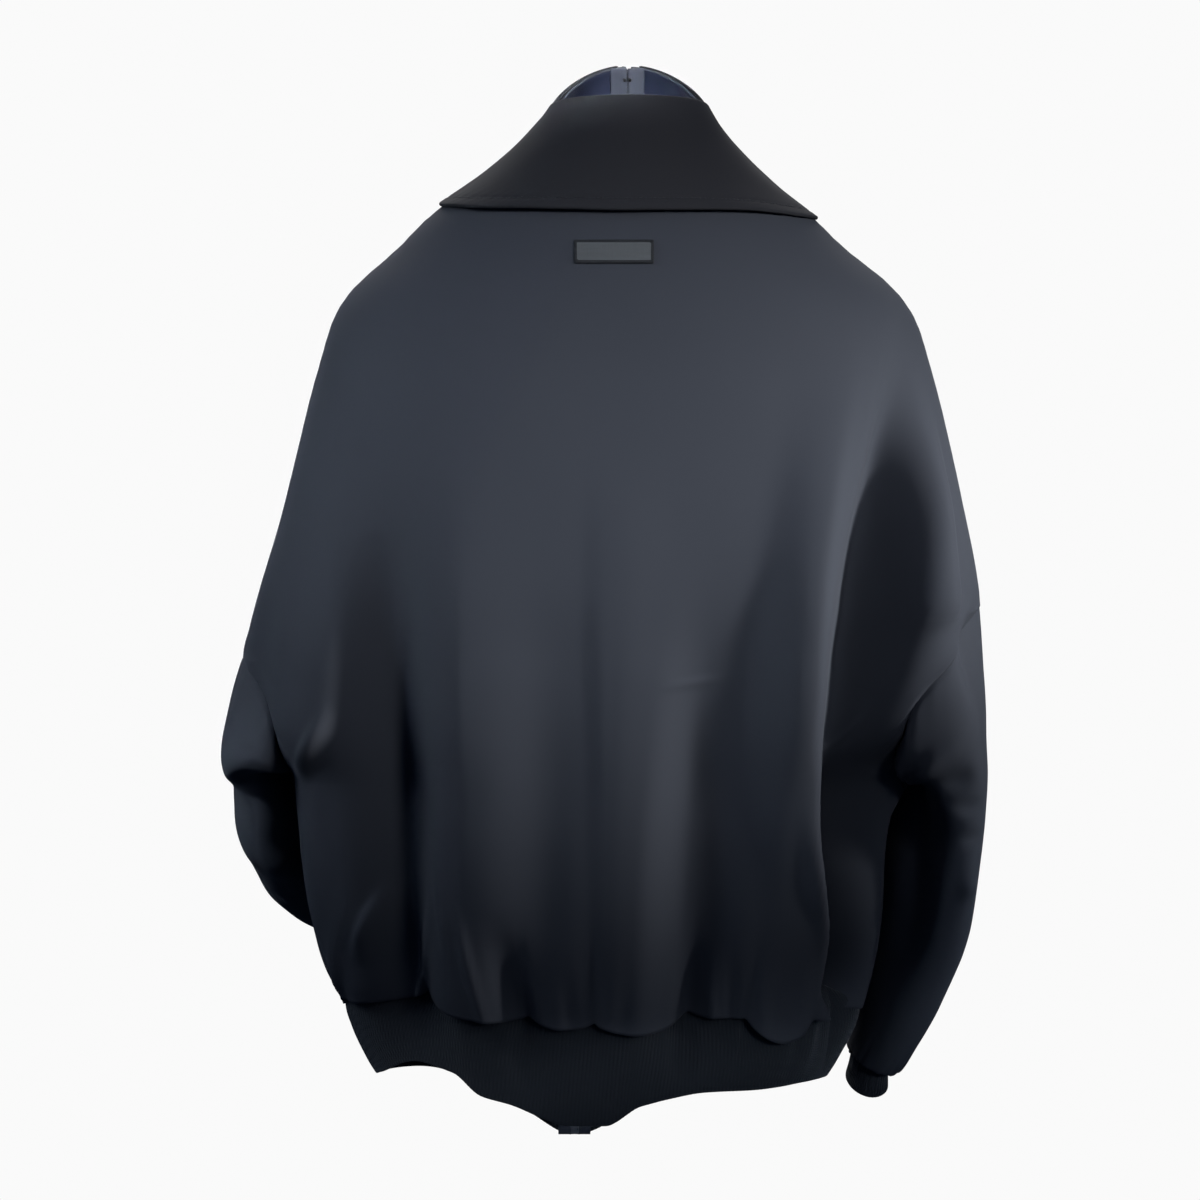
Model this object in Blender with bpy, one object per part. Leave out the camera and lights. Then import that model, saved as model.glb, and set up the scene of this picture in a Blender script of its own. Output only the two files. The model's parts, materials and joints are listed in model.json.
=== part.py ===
"""Track jacket, filled out as it is worn: every cut piece is a thin closed wall of its own.

Frame: +Z up, the front faces -Y and the wearer's left is +X. The origin is between the shoulders
at the base of the neck, where a wearer holds the jacket up. Sizes in this file are in millimetres,
and MM turns them into the scene's metres.

The body is a tube of boxy ovals, from the neckline over the dropped shoulders to the hem. A place
on it is (side, face, share, row): side is 1 on the wearer's left and -1 on the right, face is 1 on
the back and -1 on the front, share runs from 0 at the middle of that face to 1 at its outer edge,
and row runs from NECK_ROW to SEAM_ROW.
"""

import math

import bpy
import numpy as np

MM = 0.001

# Walls and seams
SHELL_WALL = 2.2
KNIT_WALL = 2.8
SEAM_GAP = 0.3
ARM_SEAM_GAP = 1.2
LEFT, RIGHT = 1, -1
BACK, FRONT = 1, -1

# Rows of the body, from the neckline to the seam on the hem band
NECK_ROW, ARM_ROW, UNDERARM_ROW, FOLD_ROW, SEAM_ROW = 0, 1, 2, 3, 4

# Outline of the body at each height: how far it reaches to the wearer's left and right, to the back
# and to the front of the side line, where the side line and the two middles lie, and how boxy it is.
SECTION_COLUMNS = (
    "height", "left", "right", "back", "front", "side", "back_middle", "front_middle", "boxiness",
)
SECTIONS = (
    (60, 58, 83, 70, 62, 0, -13, -12, 2.00),
    (0, 60, 85, 73, 68, 0, -13, -12, 2.00),
    (-20, 83, 103, 82, 74, 0, -9, -12, 2.02),
    (-36, 110, 121, 91, 81, 0, -7, -12, 2.04),
    (-51, 137, 144, 100, 88, 0, -5, -12, 2.06),
    (-78, 165, 179, 111, 99, -1, -3, -10, 2.12),
    (-110, 202, 220, 122, 109, -2, -1, -8, 2.25),
    (-135, 217, 236, 129, 115, -1, 0, -6, 2.36),
    (-156, 223, 242, 133, 119, -1, 0, -5, 2.45),
    (-195, 234, 253, 140, 124, 0, 1, -2, 2.60),
    (-273, 253, 271, 147, 131, 3, 2, 4, 2.75),
    (-351, 276, 285, 150, 136, 8, 3, 8, 2.80),
    (-370, 281, 286, 150, 137, 9, 3, 9, 2.80),
    (-392, 286, 287, 151, 138, 10, 3, 10, 2.80),
    (-480, 250, 223, 152, 142, 15, 4, 14, 2.50),
    (-507, 246, 218, 153, 143, 15, 5, 16, 2.45),
    (-546, 242, 213, 154, 144, 14, 5, 18, 2.40),
    (-585, 236, 208, 154, 145, 12, 5, 20, 2.35),
    (-616, 227, 202, 151, 146, 10, 6, 22, 2.32),
    (-640, 220, 196, 146, 146, 8, 6, 24, 2.30),
    (-665, 209, 189, 141, 145, 6, 6, 26, 2.28),
    (-700, 203, 185, 138, 144, 5, 6, 27, 2.26),
    (-760, 198, 181, 136, 140, 5, 6, 29, 2.25),
)

# Neckline, armholes and underarms
NECK_SIDE_HEIGHT = 1
NECK_BACK_HEIGHT = 0
NECK_FRONT_HEIGHT = -38
LEFT_ARM_TOP = -392
RIGHT_ARM_TOP = -352
UNDERARM_HEIGHT = -480
ARMHOLE_COLUMNS = ("side", "face", "depth", "bow")
ARMHOLES = (
    (LEFT, BACK, 78, 0.27),
    (LEFT, FRONT, 76, 0.00),
    (RIGHT, BACK, 92, 0.42),
    (RIGHT, FRONT, 84, 0.10),
)

# Lower edge of the bloused shell and of the hem band, by turn round the body:
# 0 is the middle of the back, 1 the wearer's left side, 2 the middle of the front, 3 the right side.
HEM_COLUMNS = ("turn", "blouse", "band")
HEM_EDGES = (
    (0.00, -661, -730),
    (0.12, -662, -730),
    (0.20, -659, -722),
    (0.30, -654, -708),
    (0.40, -650, -691),
    (0.50, -648, -687),
    (0.62, -647, -697),
    (0.85, -658, -716),
    (1.00, -667, -725),
    (1.45, -690, -741),
    (1.80, -725, -782),
    (2.00, -744, -806),
    (2.20, -726, -782),
    (2.55, -694, -744),
    (3.00, -668, -726),
    (3.28, -664, -718),
    (3.47, -668, -717),
    (3.67, -657, -715),
    (3.88, -660, -713),
)
BLOUSE_TUCK = 7
BLOUSE_LIFT = 12
PLAIN_TUCK = 3.0
PLAIN_LIFT = 2.0
ZIP_PLAIN_TURN, ZIP_BLOUSED_TURN = 0.08, 0.30
BAND_UP = 3.0
BAND_IN = 2.0
BAND_FOOT = {"left": 186, "right": 170, "back": 122, "front": 124, "side": 4, "boxiness": 2.2}

# Gathers over the hem band: where each lobe hangs, its half width, both in turns, and how far its
# lowest point hangs and stands out beyond the cusps between the lobes.
GATHER_COLUMNS = ("turn", "half_width", "hang", "bulge")
GATHERS = (
    (0.12, 0.100, 9, 8),
    (0.375, 0.165, 13, 11),
    (0.70, 0.160, 11, 10),
    (0.96, 0.110, 9, 7),
    (1.17, 0.130, 11, 9),
    (1.40, 0.130, 9, 8),
    (1.62, 0.120, 10, 8),
    (1.82, 0.100, 6, 5),
    (2.18, 0.100, 6, 5),
    (2.39, 0.130, 10, 8),
    (2.63, 0.130, 9, 9),
    (2.86, 0.120, 11, 8),
    (3.07, 0.110, 9, 7),
    (3.28, 0.100, 10, 8),
    (3.475, 0.115, 17, 12),
    (3.67, 0.090, 8, 8),
    (3.893, 0.140, 14, 10),
)
GATHER_RISE = 95

# Folds of the body. "at" is the distance along the cloth from the middle of the face, at three
# heights; a positive depth stands out and a negative one sinks in; "deepest" is the share of the
# fold's length where it is deepest.
FOLD_COLUMNS = (
    "side", "face", "high_at", "high", "mid_at", "mid", "low_at", "low",
    "half_width", "depth", "deepest",
)
FOLDS = (
    (RIGHT, BACK, 200, -115, 167, -420, 230, -650, 36, 13, 0.55),
    (RIGHT, BACK, 238, -160, 208, -430, 262, -650, 34, -15, 0.60),
    (RIGHT, BACK, 72, -300, 84, -500, 72, -690, 40, -11, 0.75),
    (RIGHT, BACK, 22, -170, 26, -420, 30, -690, 50, 5, 0.50),
    (RIGHT, BACK, 128, -330, 130, -520, 142, -690, 36, 5, 0.75),
    (LEFT, BACK, 26, -260, 33, -470, 52, -690, 30, -8, 0.65),
    (LEFT, BACK, 88, -250, 86, -470, 98, -690, 38, 4, 0.70),
    (LEFT, BACK, 136, -150, 125, -450, 74, -660, 24, 8, 0.60),
    (LEFT, BACK, 176, -215, 166, -500, 152, -680, 38, -20, 0.75),
    (LEFT, BACK, 222, -310, 232, -430, 250, -560, 36, 9, 0.60),
    (LEFT, BACK, 268, -300, 284, -390, 296, -470, 30, -8, 0.50),
    (LEFT, BACK, 84, -570, 74, -620, 62, -690, 20, -11, 0.70),
    (RIGHT, BACK, 69, -590, 66, -640, 64, -690, 18, -8, 0.70),
    (RIGHT, BACK, 166, -590, 168, -640, 172, -690, 18, -9, 0.70),
    (LEFT, FRONT, 74, -270, 88, -500, 92, -730, 36, -10, 0.70),
    (LEFT, FRONT, 128, -200, 140, -450, 146, -710, 38, 8, 0.65),
    (LEFT, FRONT, 190, -230, 200, -460, 196, -700, 38, -13, 0.65),
    (LEFT, FRONT, 270, -420, 262, -540, 210, -690, 44, -9, 0.55),
    (RIGHT, FRONT, 82, -290, 90, -500, 88, -730, 38, -9, 0.70),
    (RIGHT, FRONT, 136, -190, 142, -440, 138, -710, 38, 8, 0.60),
    (RIGHT, FRONT, 196, -220, 192, -450, 186, -700, 34, -13, 0.65),
)
FOLD_RUN_ON = 40
ZIP_CALM_FROM, ZIP_CALM_TO = 18, 60

# Sleeves: the ring's centre, counted outwards from the middle of the body, its half width and half
# depth, and how it is turned: "tilt" lifts its outer side, "pitch" points the sleeve forwards and
# "yaw" inwards. "at" is the share of the sleeve's length. The first ring is replaced by the armhole.
RING_COLUMNS = ("at", "out", "y", "height", "half_width", "half_depth", "tilt", "pitch", "yaw")
SLEEVES = {
    LEFT: (
        (0.00, 267, 12, -436, 47, 76, 68, 0, 0),
        (0.10, 274.6, 12, -457, 34.5, 80, 50, 2, 0),
        (0.20, 277, 9, -478, 28, 78, 21, 6, 0),
        (0.26, 274, 2, -490, 24, 66, 10, 14, -4),
        (0.40, 272, -24, -520, 27, 50, 0, 34, -8),
        (0.58, 252, -80, -562, 35, 46, 0, 50, -26),
        (0.76, 220, -128, -600, 36, 45, 0, 52, -34),
        (0.90, 189, -160, -627, 36, 44, 0, 50, -38),
        (0.96, 178, -172, -641, 34, 42, 0, 50, -38),
        (1.00, 182, -168, -637, 29, 36, 0, 50, -38),
    ),
    RIGHT: (
        (0.00, 254, 12, -416, 71, 88, 64, 0, 0),
        (0.10, 256, 12, -440, 54, 88, 54, 0, 0),
        (0.18, 257, 10, -468, 40, 84, 35, 2, 0),
        (0.23, 255, 6, -489, 34, 72, 18, 4, -10),
        (0.36, 250, -6, -530, 30, 60, 6, 9, -24),
        (0.56, 243, -24, -598, 29, 54, -4, 14, -26),
        (0.74, 231, -40, -654, 28, 49, -12, 16, -22),
        (0.90, 218, -50, -702, 24, 44, -16, 14, -12),
        (0.97, 211, -54, -723, 22, 41, -14, 12, -6),
        (1.00, 209, -55, -717, 18, 35, -12, 12, -6),
    ),
}
SLEEVE_FOLD_COLUMNS = ("side", "at", "around", "half_at", "half_around", "depth")
SLEEVE_FOLDS = (
    (RIGHT, 0.48, 148, 0.30, 34, -9),
    (RIGHT, 0.50, 78, 0.34, 40, 5),
    (RIGHT, 0.60, 305, 0.30, 40, -6),
    (LEFT, 0.50, 60, 0.12, 70, -6),
    (LEFT, 0.66, 120, 0.10, 60, -5),
    (LEFT, 0.80, 60, 0.10, 60, -5),
)
CUFFS = {
    LEFT: {
        "length": 50, "inset": 0.5, "foot_width": 27, "foot_depth": 33, "pitch": 50, "yaw": -38, "tilt": 0,
    },
    RIGHT: {
        "length": 29, "inset": 2.5, "foot_width": 17, "foot_depth": 34, "pitch": 10, "yaw": -2, "tilt": -6,
    },
}

# Collar: the neckband stands on the neckline, and the fall folds down over it.
NECKBAND_TOP = {"left": 45, "right": 71, "back": 65, "front": 60}
NECKBAND_TOP_BACK, NECKBAND_TOP_SIDE, NECKBAND_TOP_FRONT = 36, 25, 62
NECKBAND_ROUNDNESS_BACK, NECKBAND_ROUNDNESS_FRONT = 0.5, 1.2
FALL_WALL = 3.0
FALL_OFF_NECKBAND = 1.0
FALL_OFF_BODY = 4.0
FALL_FRONT_TURN_TOP = 1.90
FALL_FRONT_TURN_EDGE = 1.62
FALL_COLUMNS = ("turn", "height")
FALL_EDGE = (
    (0.0, -51),
    (0.5, -51),
    (1.0, -48),
    (1.35, -49),
    (1.62, -54),
    (2.38, -54),
    (2.65, -56),
    (3.0, -61),
    (3.5, -55),
)
FALL_HOLLOW = {"middle": 5, "left": 24, "right": 16}

# Zip
ZIP_HALF_GAP = 3.6
ZIP_TOP, ZIP_FOOT = 57, -803
TAPE_HALF_WIDTH = 13
TAPE_WALL = 1.0
TAPE_BEHIND = 0.6
TAPE_CURVE = 0.2
CHAIN_HALF_WIDTH = 3.0
CHAIN_PROUD = 1.9
CHAIN_GAP = 0.15
ZIP_REACH, ZIP_REACH_HEM, HEM_ZONE = 2, 8, -700

# Slider and pull tab, measured forwards from the face of the tapes and upwards along them
SLIDER_HEIGHT = 44
SLIDER_WIDTH, SLIDER_LENGTH, SLIDER_PLATE = 10.0, 13.0, 1.6
SLIDER_STEM_WIDTH, SLIDER_STEM_LENGTH = 5.2, 11.0
SLIDER_CLEAR = 0.8
BAIL_WIDTH, BAIL_LENGTH, BAIL_HEIGHT, BAIL_BAR = 2.4, 8.0, 3.6, 1.2
PULL_WIDTH, PULL_LENGTH, PULL_THICKNESS = 8.0, 30.0, 1.6
PULL_FOOT_WIDTH, PULL_CHAMFER = 6.4, 1.6
EYE_WIDTH, EYE_LENGTH, EYE_RIM = 3.6, 3.2, 1.4
EYE_CLEAR = 0.45

# Plain patch on the upper back
PATCH = {"middle": -1, "height": -79, "width": 58, "length": 16.5, "thickness": 1.6, "off": 0.4}

# Grid sizes
BACK_COLUMNS = 17
FRONT_COLUMNS = 14
UPPER_ROWS = 11
ARMHOLE_STEPS = 12
LOWER_ROWS = 10
TUCK_ROWS = 2
SLEEVE_ROWS = 18
BAND_ROWS = 3
CUFF_ROWS = 2
NECKBAND_ROWS = 3
FALL_ROWS = 6
FALL_STEPS = 44
ARC_STEPS = 48
CROWD_FROM = 0.35

COLOURS = {
    "satin": (0.030, 0.034, 0.047),
    "knit": (0.012, 0.013, 0.016),
    "tape": (0.015, 0.016, 0.020),
    "metal": (0.30, 0.30, 0.31),
    "patch": (0.075, 0.078, 0.080),
}


def column(table, names, name):
    """One named column of a table, as an array."""
    return np.array([line[names.index(name)] for line in table], float)


def lines(table, names):
    """The lines of a table, each with its values by name."""
    return [dict(zip(names, values)) for values in table]


def smooth_curve(known_at, known, at):
    """A curve through known values that never overshoots them (a monotone cubic)."""
    order = np.argsort(known_at)
    x, y = np.asarray(known_at, float)[order], np.asarray(known, float)[order]
    step = np.diff(x)
    rise = np.diff(y) / step
    slope = np.zeros(len(x))
    slope[0], slope[-1] = rise[0], rise[-1]
    same_way = rise[:-1] * rise[1:] > 0
    mean = 2 * rise[:-1] * rise[1:] / np.where(same_way, rise[:-1] + rise[1:], 1)
    slope[1:-1] = np.where(same_way, mean, 0)
    at = np.asarray(at, float)
    i = np.clip(np.searchsorted(x, at) - 1, 0, len(x) - 2)
    t = np.clip((at - x[i]) / step[i], 0, 1)
    before = y[i] + (at - x[i]) * slope[0] * (at < x[0])
    return (
        (2 * t**3 - 3 * t**2 + 1) * before
        + (t**3 - 2 * t**2 + t) * step[i] * slope[i]
        + (3 * t**2 - 2 * t**3) * y[i + 1]
        + (t**3 - t**2) * step[i] * slope[i + 1]
    )


def round_curve(turns, values, turn):
    """A smooth curve through values given by turn, which joins itself after four turns."""
    turns, values = np.asarray(turns, float), np.asarray(values, float)
    around = np.concatenate([turns - 4, turns, turns + 4])
    return smooth_curve(around, np.tile(values, 3), np.mod(turn, 4))


def ease(value):
    """0 below 0 and 1 above 1, with a smooth start and end."""
    value = np.clip(value, 0, 1)
    return value * value * (3 - 2 * value)


def turn_of(side, face, share):
    """Turn round the body of a place on it."""
    back = share * side
    front = 2 - share * side
    return np.mod(np.where(face == BACK, back, np.where(side == LEFT, front, 2 + share)), 4)


def section(side, face, height):
    """(half width, depth, middle, side line, boxiness) of the body's outline at a height."""
    def look(name):
        return smooth_curve(column(SECTIONS, SECTION_COLUMNS, "height"),
                            column(SECTIONS, SECTION_COLUMNS, name), height)

    middle = np.where(face == BACK, look("back_middle"), look("front_middle"))
    reach = np.where(side == LEFT, look("left") - middle, look("right") + middle)
    line = look("side")
    depth = np.where(face == BACK, look("back") - line, look("front") + line)
    return reach, depth, middle, line, look("boxiness")


def arm_top_height(side, share):
    """Height of the row through the tops of the armholes."""
    mean, half = (LEFT_ARM_TOP + RIGHT_ARM_TOP) / 2, (LEFT_ARM_TOP - RIGHT_ARM_TOP) / 2
    return mean + half * side * np.sin(share * math.pi / 2)


def gather_shape(turn):
    """(hang, bulge) of the gathers over the hem band: round lobes with cusps between them."""
    hang, bulge = np.zeros(np.shape(turn)), np.zeros(np.shape(turn))
    for gather in lines(GATHERS, GATHER_COLUMNS):
        away = np.abs(np.mod(turn - gather["turn"] + 2, 4) - 2) / gather["half_width"]
        lobe = np.sqrt(np.clip(1 - away**2, 0, 1))
        hang = np.maximum(hang, gather["hang"] * lobe)
        bulge = np.maximum(bulge, gather["bulge"] * lobe)
    return hang, bulge


def blouse_share(turn):
    """1 where the shell blouses over the band, falling to 0 beside the zip."""
    away = np.abs(np.mod(turn, 4) - 2)
    return ease((away - ZIP_PLAIN_TURN) / (ZIP_BLOUSED_TURN - ZIP_PLAIN_TURN))


def hem_height(name, turn):
    """Height of the blouse's lower edge or of the band's."""
    return round_curve(column(HEM_EDGES, HEM_COLUMNS, "turn"),
                       column(HEM_EDGES, HEM_COLUMNS, name), turn)


def height_of(side, face, share, row):
    """Height of a place on the body, before the tuck under the blouse."""
    middle = np.where(face == BACK, NECK_BACK_HEIGHT, NECK_FRONT_HEIGHT)
    neck = NECK_SIDE_HEIGHT + (middle - NECK_SIDE_HEIGHT) * np.cos(share * math.pi / 2) ** 2
    top = arm_top_height(side, share)
    turn = turn_of(side, face, share)
    hang, _ = gather_shape(turn)
    lowest = hem_height("blouse", turn) + (6 - hang) * blouse_share(turn)
    upper = neck + (top - neck) * np.clip(row, 0, 1) ** 1.2
    angle = np.clip(row - ARM_ROW, 0, 1) * math.pi
    armhole = (top + UNDERARM_HEIGHT) / 2 + (top - UNDERARM_HEIGHT) / 2 * np.cos(angle)
    lower = UNDERARM_HEIGHT + (lowest - UNDERARM_HEIGHT) * np.clip(row - UNDERARM_ROW, 0, 1)
    return np.where(row <= ARM_ROW, upper, np.where(row <= UNDERARM_ROW, armhole, lower))


def armhole_edge(side, face, row):
    """(how far out, how far from the side line) the armhole's edge lies in its rows."""
    angle = np.clip(row - ARM_ROW, 0, 1) * math.pi
    depth, bow = np.zeros(np.shape(angle)), np.zeros(np.shape(angle))
    for quarter in lines(ARMHOLES, ARMHOLE_COLUMNS):
        here = (side == quarter["side"]) & (face == quarter["face"])
        depth, bow = np.where(here, quarter["depth"], depth), np.where(here, quarter["bow"], bow)
    heights = column(SECTIONS, SECTION_COLUMNS, "height")

    def reach(height):
        left = smooth_curve(heights, column(SECTIONS, SECTION_COLUMNS, "left"), height)
        right = smooth_curve(heights, column(SECTIONS, SECTION_COLUMNS, "right"), height)
        return np.where(side == LEFT, left, right)

    top = reach(np.where(side == LEFT, LEFT_ARM_TOP, RIGHT_ARM_TOP))
    low = reach(np.full(np.shape(angle), float(UNDERARM_HEIGHT)))
    inward = (1 - np.cos(angle)) / 2 + bow * np.sin(angle) ** 2
    return top + (low - top) * inward, depth * np.sin(angle)


def quarter_arc(reach, depth, boxiness, share, end, whole=None):
    """(x, y, length so far) at a share of the way along a quarter oval, which stops at angle end.

    A shorter quarter only crowds the outer places, so that folds run straight over the armhole rows.
    """
    angles = end[..., None] * np.linspace(0, 1, ARC_STEPS + 1)
    power = 2 / boxiness[..., None]
    x = reach[..., None] * np.sin(angles) ** power
    y = depth[..., None] * np.clip(np.cos(angles), 0, 1) ** power
    step = np.hypot(np.diff(x), np.diff(y))
    along = np.concatenate([np.zeros(step.shape[:-1] + (1,)), np.cumsum(step, -1)], -1)
    stop = np.take_along_axis(along, np.full(along.shape[:-1] + (1,), ARC_STEPS), -1)[..., 0]
    whole = stop if whole is None else whole
    crowd = (np.clip((share - CROWD_FROM) / (1 - CROWD_FROM), 0, 1)) ** 2
    want = share * whole - (whole - stop) * crowd
    i = np.clip((along < want[..., None]).sum(-1) - 1, 0, ARC_STEPS - 1)[..., None]
    before = np.take_along_axis(along, i, -1)
    here = (want[..., None] - before) / np.maximum(np.take_along_axis(step, i, -1), 1e-9)
    angle = (np.take_along_axis(angles, i, -1) + here * end[..., None] / ARC_STEPS)[..., 0]
    x = reach * np.sin(angle) ** power[..., 0]
    y = depth * np.clip(np.cos(angle), 0, 1) ** power[..., 0]
    return x, y, want


def fold_depth(side, from_back, from_front, height):
    """How far the folds move the cloth out, by distance along the cloth from the two middles."""
    total = np.zeros(np.shape(height))
    for fold in lines(FOLDS, FOLD_COLUMNS):
        distance = from_back if fold["face"] == BACK else from_front
        length = fold["high"] - fold["low"]
        along = np.clip((fold["high"] - height) / length, 0, 1)
        share_mid = (fold["high"] - fold["mid"]) / length
        drift = fold["low_at"] - fold["high_at"]
        bend = fold["mid_at"] - fold["high_at"] - drift * share_mid
        path = fold["high_at"] + drift * along
        path = path + bend * along * (1 - along) / (share_mid * (1 - share_mid))
        across = np.clip(np.abs(distance - path) / fold["half_width"], 0, 1)
        deepest = fold["deepest"]
        strength = ease(along / deepest) * (1 - 0.35 * ease((along - deepest) / (1 - deepest)))
        here = (side == fold["side"]) & (height < fold["high"]) & (height > fold["low"] - FOLD_RUN_ON)
        total = total + np.where(
            here, fold["depth"] * strength * (1 + np.cos(math.pi * across)) / 2, 0)
    return total


def body(side, face, share, row):
    """(points, outward directions) of the body's outer surface, as arrays of x, y, z."""
    places = [np.asarray(value, float) for value in (side, face, share, row)]
    side, face, share, row = np.broadcast_arrays(*places)
    height = height_of(side, face, share, row)
    turn = turn_of(side, face, share)
    reach, depth, middle, line, boxiness = section(side, face, height)
    full = np.full(reach.shape, math.pi / 2)
    edge_out, edge_deep = armhole_edge(side, face, row)
    at_armhole = (row > ARM_ROW) & (row < UNDERARM_ROW)
    edge_share = np.clip(edge_deep / depth, 0, 0.98)
    wanted = (edge_out - side * middle) / (1 - edge_share**boxiness) ** (1 / boxiness)
    end = np.where(at_armhole, np.arccos(edge_share ** (boxiness / 2)), full)
    other = section(side, -face, height)
    _, _, far_length = quarter_arc(other[0], other[1], other[4], np.ones(reach.shape), full)
    _, _, own_length = quarter_arc(reach, depth, boxiness, np.ones(reach.shape), full)
    reach = np.where(at_armhole, wanted, reach)
    x, y, along = quarter_arc(reach, depth, boxiness, share, end, own_length)
    around = own_length + far_length - along
    from_back = np.where(face == BACK, along, around)
    from_front = np.where(face == FRONT, along, around)
    out_x = (x / reach) ** (boxiness - 1) / reach
    out_y = (y / depth) ** (boxiness - 1) / depth
    size = np.hypot(out_x, out_y)
    outward = np.stack([side * out_x / size, face * out_y / size, np.zeros(x.shape)], -1)
    calm = ease((from_front - ZIP_CALM_FROM) / (ZIP_CALM_TO - ZIP_CALM_FROM))
    moved = fold_depth(side, from_back, from_front, height) * calm
    _, bulge = gather_shape(turn)
    blouse = blouse_share(turn)
    low = height_of(side, face, share, np.full(row.shape, float(FOLD_ROW)))
    near_hem = ease(1 - (height - low) / GATHER_RISE) * (row > UNDERARM_ROW)
    moved = moved + (bulge - 3) * blouse * near_hem
    points = np.stack([middle + side * x, line + face * y, height], -1) + outward * moved[..., None]
    tucked = np.clip(row - FOLD_ROW, 0, 1)
    tuck = (PLAIN_TUCK + (BLOUSE_TUCK + bulge * 0.5 - PLAIN_TUCK) * blouse) * np.sin(tucked * math.pi / 2)
    lift = (PLAIN_LIFT + (BLOUSE_LIFT - PLAIN_LIFT) * blouse) * (1 - np.cos(tucked * math.pi / 2))
    points = points - outward * tuck[..., None] + np.stack([0 * lift, 0 * lift, lift], -1)
    lean = (ease((row - FOLD_ROW + 0.25) / 0.75) * math.radians(78))[..., None]
    down = np.array([0.0, 0.0, -1.0])
    return points, outward * np.cos(lean) + down * np.sin(lean)


def thick(points, outward, wall):
    """(outer, inner) points of a wall whose outer face is given."""
    return points, points - outward * wall


def part_edges(outer, inner, gap, sides):
    """Moves the named edges of a wall inwards along it, so that neighbours stay apart."""
    for name in sides:
        rows = name in ("top", "bottom")
        a = np.moveaxis(outer, 0 if rows else 1, 0)
        b = np.moveaxis(inner, 0 if rows else 1, 0)
        first, second = (0, 1) if name in ("top", "left") else (-1, -2)
        way = a[second] - a[first]
        way = way / np.maximum(np.linalg.norm(way, axis=-1, keepdims=True), 1e-9)
        a[first] = a[first] + way * gap
        b[first] = b[first] + way * gap
    return outer, inner


def add_solid(name, points, faces, colour, origin=(0.0, 0.0, 0.0)):
    """A closed mesh object of one material, with its faces turned outwards and that origin."""
    mesh = bpy.data.meshes.new(name)
    mesh.from_pydata([tuple((p - np.array(origin)) * MM) for p in points], [], faces)
    tris = [(f[0], f[i], f[i + 1]) for f in faces for i in range(1, len(f) - 1)]
    corner = np.array(points)[np.array(tris)]
    if np.linalg.det(corner).sum() < 0:
        mesh.flip_normals()
    mesh.materials.append(material(colour))
    if colour != "metal":
        mesh.shade_smooth()
    obj = bpy.data.objects.new(name, mesh)
    obj.location = [value * MM for value in origin]
    bpy.context.scene.collection.objects.link(obj)
    return obj


def add_wall(name, outer, inner, colour, closed=False):
    """A solid between an outer and an inner grid of points. A closed one is a tube."""
    rows, columns = outer.shape[:2]
    size = rows * columns
    points = np.concatenate([outer.reshape(-1, 3), inner.reshape(-1, 3)])
    faces = []

    def at(layer, row, col):
        return layer * size + row * columns + col % columns

    last = columns if closed else columns - 1
    for row in range(rows - 1):
        for col in range(last):
            quad = [(row, col), (row, col + 1), (row + 1, col + 1), (row + 1, col)]
            faces.append([at(0, *q) for q in quad])
            faces.append([at(1, *q) for q in reversed(quad)])
    for col in range(last):
        faces.append([at(0, 0, col), at(1, 0, col), at(1, 0, col + 1), at(0, 0, col + 1)])
        end = rows - 1
        faces.append([at(0, end, col + 1), at(1, end, col + 1), at(1, end, col), at(0, end, col)])
    if not closed:
        for row in range(rows - 1):
            end = columns - 1
            faces.append([at(0, row + 1, 0), at(1, row + 1, 0), at(1, row, 0), at(0, row, 0)])
            faces.append([at(0, row, end), at(1, row, end), at(1, row + 1, end), at(0, row + 1, end)])
    return add_solid(name, points, faces, colour)


def material(colour):
    """The Principled material of that finish, made once."""
    known = bpy.data.materials.get(colour)
    if known:
        return known
    made = bpy.data.materials.new(colour)
    made.use_nodes = True
    shader = made.node_tree.nodes["Principled BSDF"]
    shader.inputs["Base Color"].default_value = (*COLOURS[colour], 1)
    shader.inputs["Roughness"].default_value = {"satin": 0.38, "metal": 0.3}.get(colour, 0.85)
    shader.inputs["Metallic"].default_value = 1.0 if colour == "metal" else 0.0
    return made


def body_rows():
    """Rows of the panels' grids, from the neckline to the seam on the band."""
    return np.concatenate([
        np.linspace(NECK_ROW, ARM_ROW, UPPER_ROWS, endpoint=False),
        np.linspace(ARM_ROW, UNDERARM_ROW, ARMHOLE_STEPS, endpoint=False),
        UNDERARM_ROW + np.linspace(0, 1, LOWER_ROWS + 1) ** 0.85,
        np.linspace(FOLD_ROW, SEAM_ROW, TUCK_ROWS + 1)[1:],
    ])


def zip_edge_share(side, row, edge):
    """Share at which a front's edge lies beside the zip, that far from the middle."""
    probe = np.linspace(0, 0.08, 9)
    points, _ = body(side, FRONT, probe[None, :], row[:, None])
    middle, _ = body(side, FRONT, 0.0, row)
    away = np.abs(points[..., 0] - middle[:, None, 0])
    return np.array([np.interp(edge, line, probe) for line in away])


def add_back():
    """The back panel, in one with the backs of the dropped shoulders."""
    rows = body_rows()
    half = np.linspace(0, 1, BACK_COLUMNS + 1)
    left, left_out = body(LEFT, BACK, half[None, ::-1], rows[:, None])
    right, right_out = body(RIGHT, BACK, half[None, 1:], rows[:, None])
    points = np.concatenate([left, right], 1)
    outward = np.concatenate([left_out, right_out], 1)
    outer, inner = thick(points, outward, SHELL_WALL)
    add_wall("back", *part_edges(outer, inner, SEAM_GAP / 2, ("left", "right", "top")), "satin")


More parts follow.
